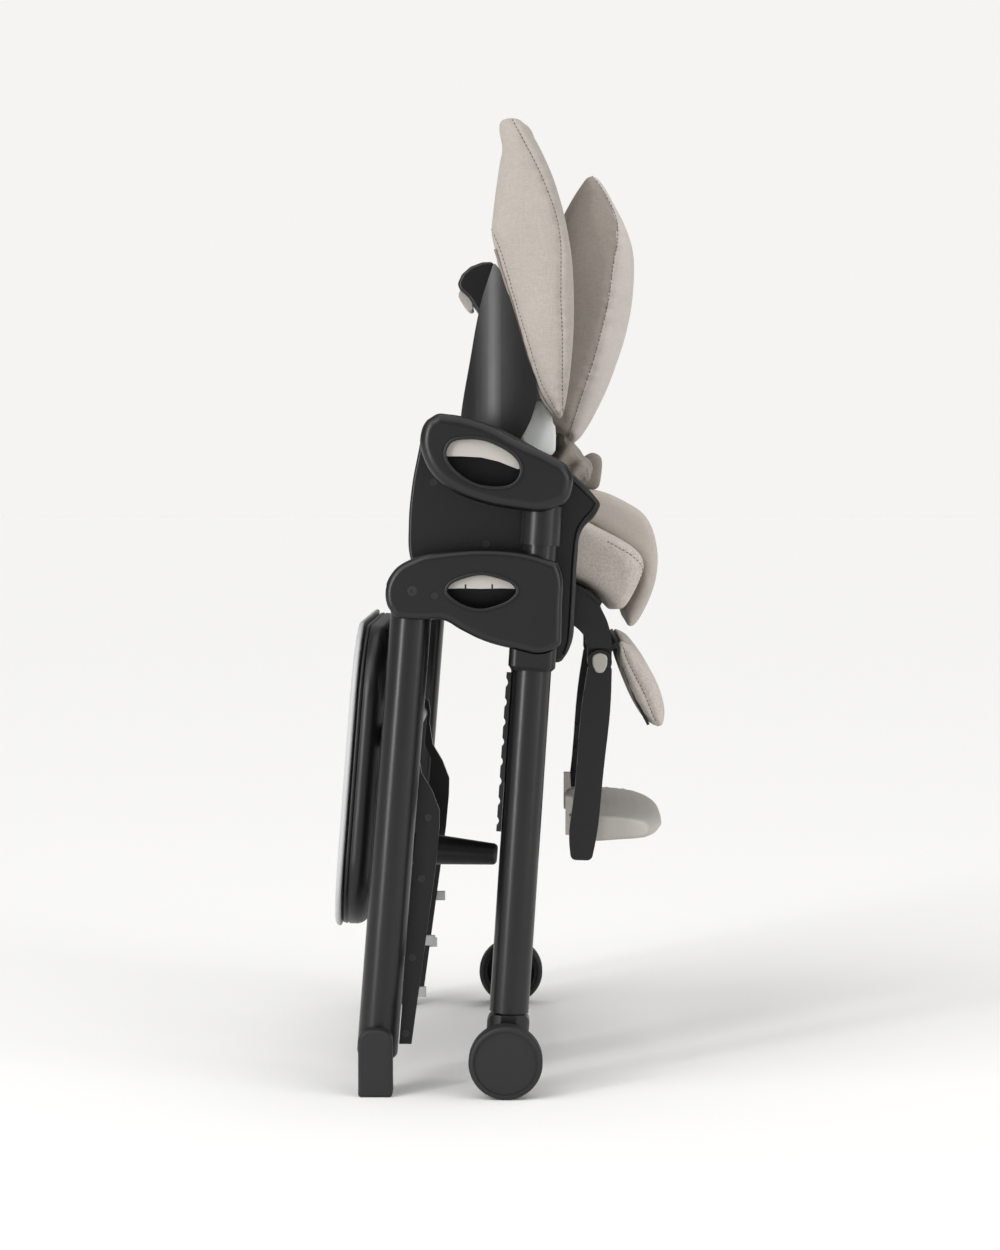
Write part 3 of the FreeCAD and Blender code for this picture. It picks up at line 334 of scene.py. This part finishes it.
overlay_rings = [(0.0340, 0.020), (0.0346, 0.012), (0.038, 0.0065), (RIM - 0.0004, 0.0056),
                 (RIM + 0.0006, 0.0046), (RIM + 0.0006, 0), (RIM + 0.0009, -0.0022),
                 (RIM + 0.0022, -0.0030), (RIM + 0.0046, -0.0024), (RIM + 0.0062, -0.0004),
                 (RIM + 0.0066, 0.0030), (RIM + 0.0056, 0.0062), (RIM + 0.001, 0.0082),
                 (0.0400, 0.0090), (0.0366, 0.0125), (0.0360, 0.020)]
pale_plastic = skin("pale_plastic", (0.47, 0.47, 0.475), 0.34, 2200, 0.12, 0.04)
overlay_dish = new_object("overlay_dish", lofted("overlay_dish", tray_loop, overlay_rings, behind_legs))
covered(overlay_dish, [pale_plastic], "tray_overlay", ["tray_overlay"])

# ---------------------------------------------------------------- footplate
# A hollow beige plate between the leg rest's arms, rounded at the front and drawn back towards
# both ends, with shallow grip ridges along its top.

FOOTPLATE = [(-30, 259), (-34, 261), (-58, 262), (-85, 260.5), (-106, 258.5), (-119, 255.5), (-125.5, 250.5),
             (-126.5, 245), (-123, 240.5), (-112, 238.3), (-90, 237), (-58, 235.2), (-34, 236), (-30, 239)]
plate_loop = smooth_path(chair_side(FOOTPLATE), closed=True)
plate_rings = [(-0.1474, 0.0065), (-0.1472, 0.0035), (-0.1462, 0.0014), (-0.1435, 0.0002)]
plate_rings += [(x / 100, 0.0) for x in range(-14, 15)] + [(-x, amount) for x, amount in plate_rings[::-1]]


def crosswise(p, depth):
    """From a side-view point and a place across the chair, to the chair."""
    return (depth, p.x, p.y)


plate = new_object("footplate_board", lofted("footplate_board", plate_loop, plate_rings, crosswise))
back_edge = max(p.x for p in plate_loop)
PLATE_HALF, PLATE_LONG, RIDGED_ABOVE = 0.1475, 0.0955, 0.252
for v in plate.data.vertices:
    share = (back_edge - v.co.y) / PLATE_LONG
    v.co.y = back_edge - (back_edge - v.co.y) * (1 - 0.17 * abs(v.co.x / PLATE_HALF) ** 3.6)
    if v.co.z > RIDGED_ABOVE and 0.2 < share < 0.85:
        v.co.z += 0.0005 * math.sin(share * 60)
covered(plate, [warm_plastic], "footrest", ["footplate"])

# ---------------------------------------------------------------- moulded edges
# Raised rims moulded round the hand holes of the casings and armrests, and along the front edge of
# the seat's side panels. Two black stops stand in the edge of each fold trigger.


def rim(name, points, x, thick, body, closed=True, finish=moulded_black):
    """A round bead laid on a side face along a smooth line, on both sides of the chair."""
    path = smooth_path(points, 0.006, closed)
    count, sides = len(path), 8
    corners, faces = [], []
    for i, p in enumerate(path):
        before, after = path[i - 1], path[(i + 1) % count]
        if not closed:
            before, after = path[max(i - 1, 0)], path[min(i + 1, count - 1)]
        way = (after - before).normalized()
        for k in range(sides):
            turn = math.tau * k / sides
            off = Vector((-way.y, way.x)) * (thick * math.cos(turn))
            corners.append((x + thick * 0.8 * math.sin(turn), p.x + off.x, p.y + off.y))
    for i in range(count if closed else count - 1):
        for k in range(sides):
            a, b = i * sides, (i + 1) % count * sides
            faces.append((a + k, a + (k + 1) % sides, b + (k + 1) % sides, b + k))
    if not closed:
        faces += [list(range(sides)), list(range((count - 1) * sides, count * sides))[::-1]]
    near = new_object(name + "_right", closed_mesh(name, corners, faces))
    near.data.polygons.foreach_set("use_smooth", [True] * len(faces))
    for made in (near, mirror_of(near, name + "_left")):
        covered(made, [finish], body)


HAND_HOLE = [(90, 491), (86.5, 498), (77, 503), (57, 507.5), (36, 503), (26.5, 498), (23, 491), (31, 483),
             (44, 477.5), (57, 475), (71, 477.5), (83, 484)]
GRIP_HOLE = [(90.5, 625), (86, 634.5), (76, 638), (54, 637), (32, 627), (21, 616), (20, 605), (26, 596.5),
             (38, 593), (59, 595), (76, 604), (87, 615)]
PANEL_FRONT = [(-23, 428), (-28, 440), (-31, 481), (-33, 520), (-37.5, 551), (-52, 570), (-55, 576),
               (-46, 586), (-28, 602), (10, 629)]
for part, hole, face, body in (("hand_hole_rim", HAND_HOLE, -0.2615, "front_frame"),
                               ("grip_hole_rim", GRIP_HOLE, -0.2630, "seat_carriage")):
    around = inset(smooth_path(chair_side(hole), closed=True), -0.0015)
    rim(part, around, face, 0.0017, body)
rim("panel_edge_rim", chair_side(PANEL_FRONT), -0.2080, 0.0018, "seat_carriage", closed=False)


def small_block(name, low, high, finish, body):
    """A little moulded block, the same on both sides."""
    mesh = bpy.data.meshes.new(name)
    shape = bmesh.new()
    bmesh.ops.create_cube(shape, size=1.0)
    for v in shape.verts:
        v.co = Vector([low[i] + (v.co[i] + 0.5) * (high[i] - low[i]) for i in range(3)])
    bmesh.ops.bevel(shape, geom=shape.edges[:], offset=0.0004, segments=1, affect="EDGES")
    shape.to_mesh(mesh)
    shape.free()
    near = new_object(name + "_right", mesh)
    far = mirror_of(near, name + "_left")
    for made, side in ((near, "right"), (far, "left")):
        covered(made, [finish], body.format(side))


for number, back in enumerate((0.0720, 0.0462)):
    y = back - 0.0385
    small_block(f"trigger_stop_{number}", (-0.2566, y - 0.0008, 0.4925), (-0.2545, y + 0.0008, 0.4985),
                moulded_black, "fold_trigger_{}")

for number, (back, high) in enumerate(((0.1060, 0.1375), (0.1150, 0.0855))):
    y = back - 0.0385
    small_block(f"tray_catch_{number}", (-0.1655, y - 0.0010, high - 0.005),
                (-0.1600, y + 0.0120, high + 0.005), pale_plastic, "tray")

# ---------------------------------------------------------------- back cushion and its wings
# The removable cover of the backrest: a flat middle pad and two tall side wings, foam in a beige
# melange cloth. The wings are boxed, with a gathered seam along the front edge and a bound hem
# along the lower rear edge where the cover is drawn over the plastic shell.


def cloth(name, light, dark, yarn=0.00055, fleck=0.5, sheen=0.2, relief=0.45):
    """Woven melange: yarns both ways in two tones, slubs, and the weave itself in relief."""
    finish, shader, node, join = new_finish(name)
    shader.inputs["Roughness"].default_value = 0.88
    shader.inputs["Specular IOR Level"].default_value = 0.2
    shader.inputs["Sheen Weight"].default_value = sheen
    shader.inputs["Sheen Roughness"].default_value = 0.45
    place = node("ShaderNodeTexCoord")
    axes = node("ShaderNodeSeparateXYZ")
    join(place.outputs["Object"], axes.inputs["Vector"])

    def maths(kind, a, b=None):
        made = node("ShaderNodeMath", operation=kind)
        for socket, value in zip(made.inputs, (a, b)):
            if value is None:
                continue
            if isinstance(value, (int, float)):
                socket.default_value = value
            else:
                join(value, socket)
        return made.outputs[0]

    across_yarn = maths("ADD", axes.outputs["X"], axes.outputs["Y"])
    turns = math.pi / yarn
    weft = maths("SINE", maths("MULTIPLY", axes.outputs["Z"], turns))
    warp = maths("SINE", maths("MULTIPLY", across_yarn, turns))
    weave = maths("MULTIPLY", weft, warp)

    streaks = []
    for stretch in ((110, 110, 1500), (1500, 1500, 110)):
        aim = node("ShaderNodeMapping")
        aim.inputs["Scale"].default_value = stretch
        streak = node("ShaderNodeTexNoise", Scale=1.0, Detail=2.0, Roughness=0.6)
        join(place.outputs["Object"], aim.inputs["Vector"])
        join(aim.outputs["Vector"], streak.inputs["Vector"])
        streaks.append(streak.outputs["Fac"])
    speck = node("ShaderNodeTexNoise", Scale=520.0, Detail=2.0)
    join(place.outputs["Object"], speck.inputs["Vector"])
    slow = node("ShaderNodeTexNoise", Scale=14.0, Detail=3.0)
    join(place.outputs["Object"], slow.inputs["Vector"])
    yarns = maths("ADD", streaks[0], streaks[1])
    specks = maths("MULTIPLY", speck.outputs["Fac"], fleck)
    tones = maths("ADD", maths("MULTIPLY", yarns, 0.5 * (1 - fleck)), specks)
    tones = maths("ADD", maths("MULTIPLY", tones, 0.8), maths("MULTIPLY", slow.outputs["Fac"], 0.2))
    spread = node("ShaderNodeMapRange")
    spread.inputs["From Min"].default_value, spread.inputs["From Max"].default_value = 0.36, 0.64
    join(tones, spread.inputs["Value"])
    shade = node("ShaderNodeMix", data_type="RGBA")
    shade.inputs[6].default_value, shade.inputs[7].default_value = (*dark, 1), (*light, 1)
    join(spread.outputs["Result"], shade.inputs["Factor"])
    join(shade.outputs[2], shader.inputs["Base Color"])

    bump = node("ShaderNodeBump", Strength=relief, Distance=0.00025)
    join(maths("ADD", maths("MULTIPLY", weave, 0.5), yarns), bump.inputs["Height"])
    join(bump.outputs["Normal"], shader.inputs["Normal"])
    return finish


def blank(outline, x0, x1, ease, taper=0.0):
    """A pad before it is filled: its side-view outline carried across, drawn in at both ends."""
    rings = []
    for share in (0.0, 0.12, 0.35, 0.65, 1.0):
        depth = ease * (1 - math.sin(math.acos(1 - share)))
        rings.append((x0 + ease * share, depth + taper))
    rings += [(x1 - (x - x0), depth) for x, depth in reversed(rings)]
    return lofted("blank", smooth_path(outline, closed=True), rings, crosswise)


def applied(piece):
    """The piece's mesh with its modifiers worked in, and the modifiers gone."""
    bpy.context.view_layer.update()
    mesh = bpy.data.meshes.new_from_object(piece.evaluated_get(bpy.context.evaluated_depsgraph_get()))
    mesh.name = piece.name
    piece.modifiers.clear()
    piece.data = mesh
    return mesh


def stuffed(name, mesh, voxel, cap):
    """Fill a pad's blank: an even skin of quads, blown up a little as cloth."""
    piece = new_object(name, mesh)
    skin_maker = piece.modifiers.new("skin", "REMESH")
    skin_maker.mode = "VOXEL"
    skin_maker.voxel_size = voxel
    applied(piece)
    ease = piece.modifiers.new("ease", "SMOOTH")
    ease.factor, ease.iterations = 0.5, 4
    applied(piece)
    start = [v.co.copy() for v in piece.data.vertices]
    filling = piece.modifiers.new("filling", "CLOTH")
    filling.settings.use_pressure = True
    filling.settings.uniform_pressure_force = 4
    filling.settings.effector_weights.gravity = 0
    for step in range(1, 21):
        scene.frame_set(step)
    bpy.context.view_layer.update()
    blown = piece.evaluated_get(bpy.context.evaluated_depsgraph_get()).data.vertices
    ends = [v.co.copy() for v in blown]
    piece.modifiers.clear()
    for v, was, now in zip(piece.data.vertices, start, ends):
        push = now - was
        v.co = was + push * min(1.0, cap / push.length if push.length > 1e-9 else 1.0)
    scene.frame_set(1)
    finer = piece.modifiers.new("finer", "SUBSURF")
    finer.levels = finer.render_levels = 1
    applied(piece)
    piece.data.polygons.foreach_set("use_smooth", [True] * len(piece.data.polygons))
    return piece


def sew(piece, points, facing=(-1, 0, 0), depth=0.0014, width=0.0022, pucker=0.0005, pitch=0.019):
    """Draw a seam's groove and gathers into the face of a pad, and give the line of its thread.

    The points are (y, z) on a side, or (x, z) on a front or back."""
    facing = Vector(facing)
    flat = 1 if abs(facing.x) > 0.5 else 0
    line = np.array([tuple(p) for p in smooth_path(points)])
    count = len(piece.data.vertices)
    place, out = np.empty(count * 3), np.empty(count * 3)
    piece.data.vertices.foreach_get("co", place)
    piece.data.vertices.foreach_get("normal", out)
    place, out = place.reshape(-1, 3), out.reshape(-1, 3)
    spots = place[:, (flat, 2)]
    near, where, along = np.full(count, 1.0), np.zeros(count), 0.0
    for a, b in zip(line, line[1:]):
        way = b - a
        long = math.hypot(*way)
        share = np.clip(((spots - a) @ way) / long ** 2, 0, 1)
        far = np.linalg.norm(spots - a - share[:, None] * way, axis=1)
        closer = far < near
        near[closer], where[closer] = far[closer], along + share[closer] * long
        along += long
    groove = depth * np.exp(-(near / width) ** 2)
    gather = pucker * np.exp(-(near / 0.009) ** 2) * np.sin(math.tau * where / pitch + 2 * np.sin(where * 90))
    facing_it = np.clip((out @ np.array(facing) - 0.1) * 4, 0, 1)
    place -= out * ((groove - gather) * facing_it)[:, None]
    piece.data.vertices.foreach_set("co", place.ravel())
    piece.data.update()
    tree = BVHTree.FromPolygons([v.co for v in piece.data.vertices],
                                [p.vertices[:] for p in piece.data.polygons])
    thread = []
    for a, z in line:
        start = Vector((0, a, z)) if flat else Vector((a, 0, z))
        hit, normal, *_ = tree.ray_cast(start + facing * 0.6, -facing)
        if hit is not None:
            thread.append(hit + normal * 0.0001)
    return thread


def stitch_maker():
    """Geometry nodes that lay one stitch after another along a line of edges."""
    tree = bpy.data.node_groups.new("stitches", "GeometryNodeTree")
    face = tree.interface
    face.new_socket("Geometry", in_out="INPUT", socket_type="NodeSocketGeometry")
    for label, kind in (("Pitch", "NodeSocketFloat"), ("Thickness", "NodeSocketFloat"),
                        ("Thread", "NodeSocketMaterial")):
        face.new_socket(label, in_out="INPUT", socket_type=kind)
    face.new_socket("Geometry", in_out="OUTPUT", socket_type="NodeSocketGeometry")
    add, tie = tree.nodes.new, tree.links.new
    given, result = add("NodeGroupInput"), add("NodeGroupOutput")
    line, spaced = add("GeometryNodeMeshToCurve"), add("GeometryNodeResampleCurve")
    spaced.mode = "LENGTH"
    bead, stretch = add("GeometryNodeMeshUVSphere"), add("GeometryNodeTransform")
    bead.inputs["Segments"].default_value, bead.inputs["Rings"].default_value = 6, 5
    size, third = add("ShaderNodeCombineXYZ"), add("ShaderNodeMath")
    third.operation, third.inputs[1].default_value = "MULTIPLY", 0.36
    way, turn = add("GeometryNodeInputTangent"), add("FunctionNodeAlignRotationToVector")
    turn.axis = "Z"
    laid, real, dye = (add("GeometryNodeInstanceOnPoints"), add("GeometryNodeRealizeInstances"),
                       add("GeometryNodeSetMaterial"))
    bead.inputs["Radius"].default_value = 1.0
    tie(given.outputs["Geometry"], line.inputs[0])
    tie(line.outputs[0], spaced.inputs["Curve"])
    tie(given.outputs["Pitch"], spaced.inputs["Length"])
    tie(given.outputs["Pitch"], third.inputs[0])
    for axis in ("X", "Y"):
        tie(given.outputs["Thickness"], size.inputs[axis])
    tie(third.outputs[0], size.inputs["Z"])
    tie(bead.outputs["Mesh"], stretch.inputs["Geometry"])
    tie(size.outputs[0], stretch.inputs["Scale"])
    tie(spaced.outputs[0], laid.inputs["Points"])
    tie(stretch.outputs[0], laid.inputs["Instance"])
    tie(way.outputs[0], turn.inputs["Vector"])
    tie(turn.outputs[0], laid.inputs["Rotation"])
    tie(laid.outputs[0], real.inputs[0])
    tie(real.outputs[0], dye.inputs["Geometry"])
    tie(given.outputs["Thread"], dye.inputs["Material"])
    tie(dye.outputs[0], result.inputs[0])
    return tree


STITCHES = stitch_maker()
INPUTS = {item.name: item.identifier for item in STITCHES.interface.items_tree if item.in_out == "INPUT"}


def stitched(name, lines, thread, body, pitch=0.0042, thickness=0.00045):
    """Thread laid along one or more lines, as one mesh that rides with its cloth."""
    corners, edges = [], []
    for line in lines:
        start = len(corners)
        corners += line
        edges += [(start + i, start + i + 1) for i in range(len(line) - 1)]
    mesh = bpy.data.meshes.new(name)
    mesh.from_pydata(corners, edges, [])
    piece = new_object(name, mesh)
    layer = piece.modifiers.new("stitches", "NODES")
    layer.node_group = STITCHES
    layer[INPUTS["Pitch"]] = pitch
    layer[INPUTS["Thickness"]] = thickness
    layer[INPUTS["Thread"]] = thread
    applied(piece)
    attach(piece, body)
    return piece


def on_both_sides(piece, threads, finishes, body, nodes):
    """A near-side pad and its stitches, and the same pair on the far side."""
    for made in (piece, mirror_of(piece, piece.name.replace("right", "left"))):
        covered(made, finishes, body, nodes)
    far = mirror_of(threads, threads.name.replace("right", "left"))
    covered(far, [seam_thread], body)


melange = cloth("beige_melange", (0.435, 0.398, 0.360), (0.335, 0.302, 0.268), fleck=0.3)
seam_thread = skin("seam_thread", (0.10, 0.083, 0.068), 0.8, 3000, 0.3)

WING = [(42, 952), (33.2, 958), (19.8, 957), (7.9, 943.5), (-4, 921.5), (-14.4, 897), (-21.8, 869.5),
        (-29, 841), (-33, 813.5), (-34, 773), (-33.7, 743), (-30.2, 703), (-27, 684), (-24, 664),
        (-20, 656), (-14, 664), (0, 684.5), (15.5, 728), (27.3, 772), (43, 822), (50, 843.5),
        (48.5, 852), (46.4, 870), (41, 905), (39.5, 929)]
WING_FRONT_SEAM = [(29, 957.5), (27.2, 953.3), (13.9, 928.5), (0, 901.3), (-13.6, 866.6), (-19.8, 836.9),
                   (-20.5, 802.2), (-20.5, 777.4), (-22, 737.8), (-22, 698.1), (-22.8, 664)]
WING_HEM = [(50, 852), (46, 842), (37.2, 820), (24.8, 777.4), (12.4, 737.8), (0, 698.1), (-9.9, 678.3),
            (-17.5, 664.5)]
WING_BINDING = [(50.5, 848), (50, 843.5), (43, 822), (27.3, 772), (15.5, 728), (0, 684.5), (-14, 664),
                (-20, 656)]

wing = stuffed("back_wing_right", blank(chair_side(WING), -0.182, -0.136, 0.013, 0.001), 0.0045, 0.004)
front_thread = sew(wing, chair_side(WING_FRONT_SEAM), pucker=0.0006)
hem_thread = sew(wing, chair_side(WING_HEM), depth=0.0010, width=0.0016, pucker=0.0002)
threads = stitched("back_wing_right_stitches", [front_thread, hem_thread], seam_thread, "backrest")
on_both_sides(wing, threads, [melange], "backrest", ["back_wings"])
piping = cloth("wing_piping", (0.30, 0.268, 0.236), (0.22, 0.195, 0.17), fleck=0.2)
rim("wing_piping", smooth_path(chair_side(WING_BINDING))[6:-2], -0.1685, 0.0014, "backrest", False,
    piping)

SHELL_FACE = [(75, 640), (70, 680), (63, 718), (51, 779), (42, 803), (38, 818), (37, 845),
              (34.5, 890), (31, 958)]


def shell_line(ahead, low, high):
    """The line a set distance ahead of the shell's inner face, from bottom to top, in millimetres."""
    line = []
    for (y0, z0), (y1, z1) in zip(SHELL_FACE, SHELL_FACE[1:]):
        if z1 >= low and z0 <= high:
            if not line:
                line.append((y0 + (y1 - y0) * (low - z0) / (z1 - z0) - ahead, low))
            end = min(z1, high)
            line.append((y0 + (y1 - y0) * (end - z0) / (z1 - z0) - ahead, end))
    return line


def back_pad(ahead, thick, low, high):
    return chair_side(shell_line(ahead, low, high) + shell_line(ahead + thick, low, high)[::-1])


pad = stuffed("back_cushion_pad", blank(back_pad(2, 20, 655, 953), -0.134, 0.134, 0.011), 0.006, 0.004)
channels = []
for high in (0.715, 0.775, 0.835, 0.895):
    row = [(x / 1000, high) for x in range(-125, 126, 25)]
    channels.append(sew(pad, row, facing=(0, -1, 0), depth=0.003, width=0.005, pucker=0.0004))
stitched("back_cushion_stitches", channels, seam_thread, "backrest")
covered(pad, [melange], "backrest", ["back_cushion"])

# ---------------------------------------------------------------- infant insert, back part
# A loose pad hung in front of the cushion, with two leaf-shaped side wings: taupe cloth outside,
# a paler cloth towards the child, joined along a curved seam down each wing.

insert_out = cloth("insert_taupe", (0.32, 0.286, 0.25), (0.235, 0.208, 0.18), fleck=0.3)
insert_face = cloth("insert_pale", (0.56, 0.512, 0.48), (0.47, 0.428, 0.395), fleck=0.2)

LEAF = [(-50.7, 909), (-62.4, 901), (-73.5, 878.7), (-85, 860), (-92.3, 843.2), (-96.3, 827), (-96.5, 801.7),
        (-92.5, 771.3), (-84.5, 735.8), (-72.5, 700.3), (-55.8, 663.8), (-42, 641), (-34, 635), (-26, 641),
        (-8, 652), (12, 664), (18, 700), (14, 740), (6, 780), (-3, 820), (-14, 850), (-25.3, 871.6),
        (-37.5, 892.9)]
LEAF_SEAM = [(-51.2, 907.5), (-60.8, 895.4), (-72.5, 875.2), (-78, 857.4), (-77.5, 835.1), (-74.5, 822),
             (-70.5, 791.5), (-66.5, 768.7), (-54.8, 723.1), (-40.6, 680), (-29, 644)]

leaf = stuffed("insert_wing_right", blank(chair_side(LEAF), -0.1125, -0.0735, 0.014, 0.001), 0.0045, 0.004)
leaf_seam = chair_side(LEAF_SEAM)
leaf_thread = sew(leaf, leaf_seam, depth=0.0022, width=0.004, pucker=0.0007)
for face in leaf.data.polygons:
    middle = face.center
    seam_y = leaf_seam[0].x if middle.z > leaf_seam[0].y else leaf_seam[-1].x
    for a, b in zip(leaf_seam, leaf_seam[1:]):
        if b.y <= middle.z <= a.y:
            seam_y = a.x + (b.x - a.x) * (a.y - middle.z) / (a.y - b.y)
    face.material_index = 1 if middle.y < seam_y or face.normal.x > 0.35 else 0
threads = stitched("insert_wing_right_stitches", [leaf_thread], seam_thread, "backrest")
on_both_sides(leaf, threads, [insert_out, insert_face], "backrest", ["insert_wings"])

liner_blank = blank(back_pad(25.5, 17, 655, 890), -0.071, 0.071, 0.010)
liner = stuffed("insert_back_pad_soft", liner_blank, 0.005, 0.004)
tufts = []
for high in (0.70, 0.745, 0.79, 0.835):
    row = [(x / 1000, high + 0.006 * math.cos(x / 22)) for x in range(-62, 63, 12)]
    tufts.append(sew(liner, row, facing=(0, -1, 0), depth=0.0025, width=0.004, pucker=0.0004))
stitched("insert_back_stitches", tufts, seam_thread, "backrest")
covered(liner, [insert_face], "backrest", ["insert_back_pad"])

# ---------------------------------------------------------------- cover's gathers and lining
# Below the wings the cover runs on down to the seat, slack and folded over while the chair is
# shut; its white lining shows in the gap beside the shell.

GATHER = [(-24, 664), (-34, 662), (-31, 648), (-30, 640), (-38, 626), (-49, 612), (-50, 600), (-38, 592),
          (-18, 592), (-8, 600), (-10, 616), (-18, 632), (-20, 644)]
gather = stuffed("cover_gathers", blank(chair_side(GATHER), -0.104, 0.104, 0.008), 0.0045, 0.002)
for v in gather.data.vertices:
    x, y, z = v.co
    fold = math.sin(x * 210 + 9 * z + 1.7 * math.sin(z * 70)) * 0.5 + math.sin(x * 95 - z * 160) * 0.5
    side_fold = math.sin(y * 260 + z * 190)
    waist = 0.35 + 0.65 * min(1.0, abs(z - 0.645) / 0.03)
    v.co = v.co + v.normal * (0.0042 * waist * (fold * (1 - abs(v.normal.x)) + side_fold * abs(v.normal.x)))
gather.data.update()
gather.data.materials.append(insert_out)
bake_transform(gather)

lining_cloth = cloth("cover_lining", (0.72, 0.735, 0.71), (0.66, 0.675, 0.65), fleck=0.2, sheen=0.1)
LINING = [(2, 682), (-6, 677), (-15, 656), (-17.5, 640), (-12, 622), (12, 628), (22, 645), (14, 668)]
lining = stuffed("cover_lining_right", blank(chair_side(LINING), -0.153, -0.147, 0.0025), 0.003, 0.001)
for made in (lining, mirror_of(lining, "cover_lining_left")):
    covered(made, [lining_cloth], "backrest", ())

# ---------------------------------------------------------------- seat cushions
# The seat cushion is foam in the same melange, and the insert's seat lies over it: a thick soft
# roll that curves down past the front edge.

seat_cloth = cloth("seat_melange", (0.58, 0.53, 0.487), (0.42, 0.375, 0.335), fleck=0.75, relief=0.6)
roll_cloth = cloth("insert_roll_cloth", (0.50, 0.455, 0.41), (0.42, 0.38, 0.34), fleck=0.25)

SEAT = [(-83, 464), (-91, 474), (-101, 494.5), (-106, 509), (-104, 518), (-91, 529), (-70, 541), (-50, 551),
        (-35, 559), (10, 568), (50, 578), (66, 576), (71, 566), (70, 547), (28, 526), (-28, 502), (-50, 491),
        (-64, 480), (-74, 469)]
seat = stuffed("seat_cushion_soft", blank(chair_side(SEAT), -0.166, 0.166, 0.009), 0.0058, 0.004)
SEAT_SEAM = [(-88, 473), (-98, 495), (-102.5, 509), (-99.5, 516), (-89, 525.5), (-68, 537.5)]
seat_thread = sew(seat, chair_side(SEAT_SEAM), depth=0.001, width=0.0018, pucker=0.0004)
threads = stitched("seat_cushion_right_stitches", [seat_thread], seam_thread, "seat_carriage")
covered(mirror_of(threads, "seat_cushion_left_stitches"), [seam_thread], "seat_carriage")
covered(seat, [seat_cloth], "seat_carriage", ["seat_cushion"])

ROLL = [(-84, 451), (-92, 449.5), (-103, 466), (-112.5, 488), (-116.5, 505), (-117.5, 523), (-114, 543),
        (-108, 556), (-99, 566), (-78, 578), (-60, 585), (-30, 588), (8, 589.5), (12, 581), (8, 572),
        (-35, 560), (-50, 553), (-64, 544), (-88, 529), (-104, 517), (-107.5, 509), (-101, 491),
        (-90, 470), (-84.5, 459)]
roll = stuffed("insert_seat_roll", blank(chair_side(ROLL), -0.121, 0.121, 0.007), 0.0045, 0.003)
covered(roll, [roll_cloth], "seat_carriage", ["insert_seat_pad"])

# ---------------------------------------------------------------- harness
# A padded crotch cover over the strap and its buckle, and two flat shoulder straps of webbing.

CROTCH = [(-42, 616), (-47, 624), (-55, 627.5), (-63, 624), (-65, 616), (-63, 600), (-61, 590), (-50, 588.5),
          (-42, 590), (-39.5, 600)]
crotch = stuffed("crotch_cover", blank(chair_side(CROTCH), -0.027, 0.027, 0.006), 0.0032, 0.002)
covered(crotch, [insert_out], "seat_carriage", ["crotch_strap", "harness_buckle"])

webbing = cloth("strap_webbing", (0.34, 0.31, 0.28), (0.24, 0.21, 0.19), yarn=0.0012, fleck=0.2, relief=0.8)
coat(webbing, "shoulder_straps")

# ---------------------------------------------------------------- calf cushion
# A thin tongue of padding that hangs from the front of the seat over the leg rest, its two faces
# joined by a seam round the edge.

CALF = [(-79, 438), (-80, 420), (-87, 398), (-96, 377.5), (-106.5, 360), (-116, 349.5), (-122.5, 345.5),
        (-125, 355.3), (-124, 368), (-118.5, 387), (-109, 406), (-99, 420.5), (-88, 434), (-82, 440)]
CALF_SEAM = [(-81, 438), (-90.5, 412.5), (-104.5, 385.5), (-115, 360), (-121, 348)]
calf = stuffed("calf_cushion_soft", blank(chair_side(CALF), -0.1325, 0.1325, 0.008), 0.0045, 0.003)
calf_thread = sew(calf, chair_side(CALF_SEAM), depth=0.0016, width=0.002, pucker=0.0004)
threads = stitched("calf_cushion_right_stitches", [calf_thread], seam_thread, "leg_rest")
covered(mirror_of(threads, "calf_cushion_left_stitches"), [seam_thread], "leg_rest")
covered(calf, [seat_cloth], "leg_rest", ["calf_cushion"])
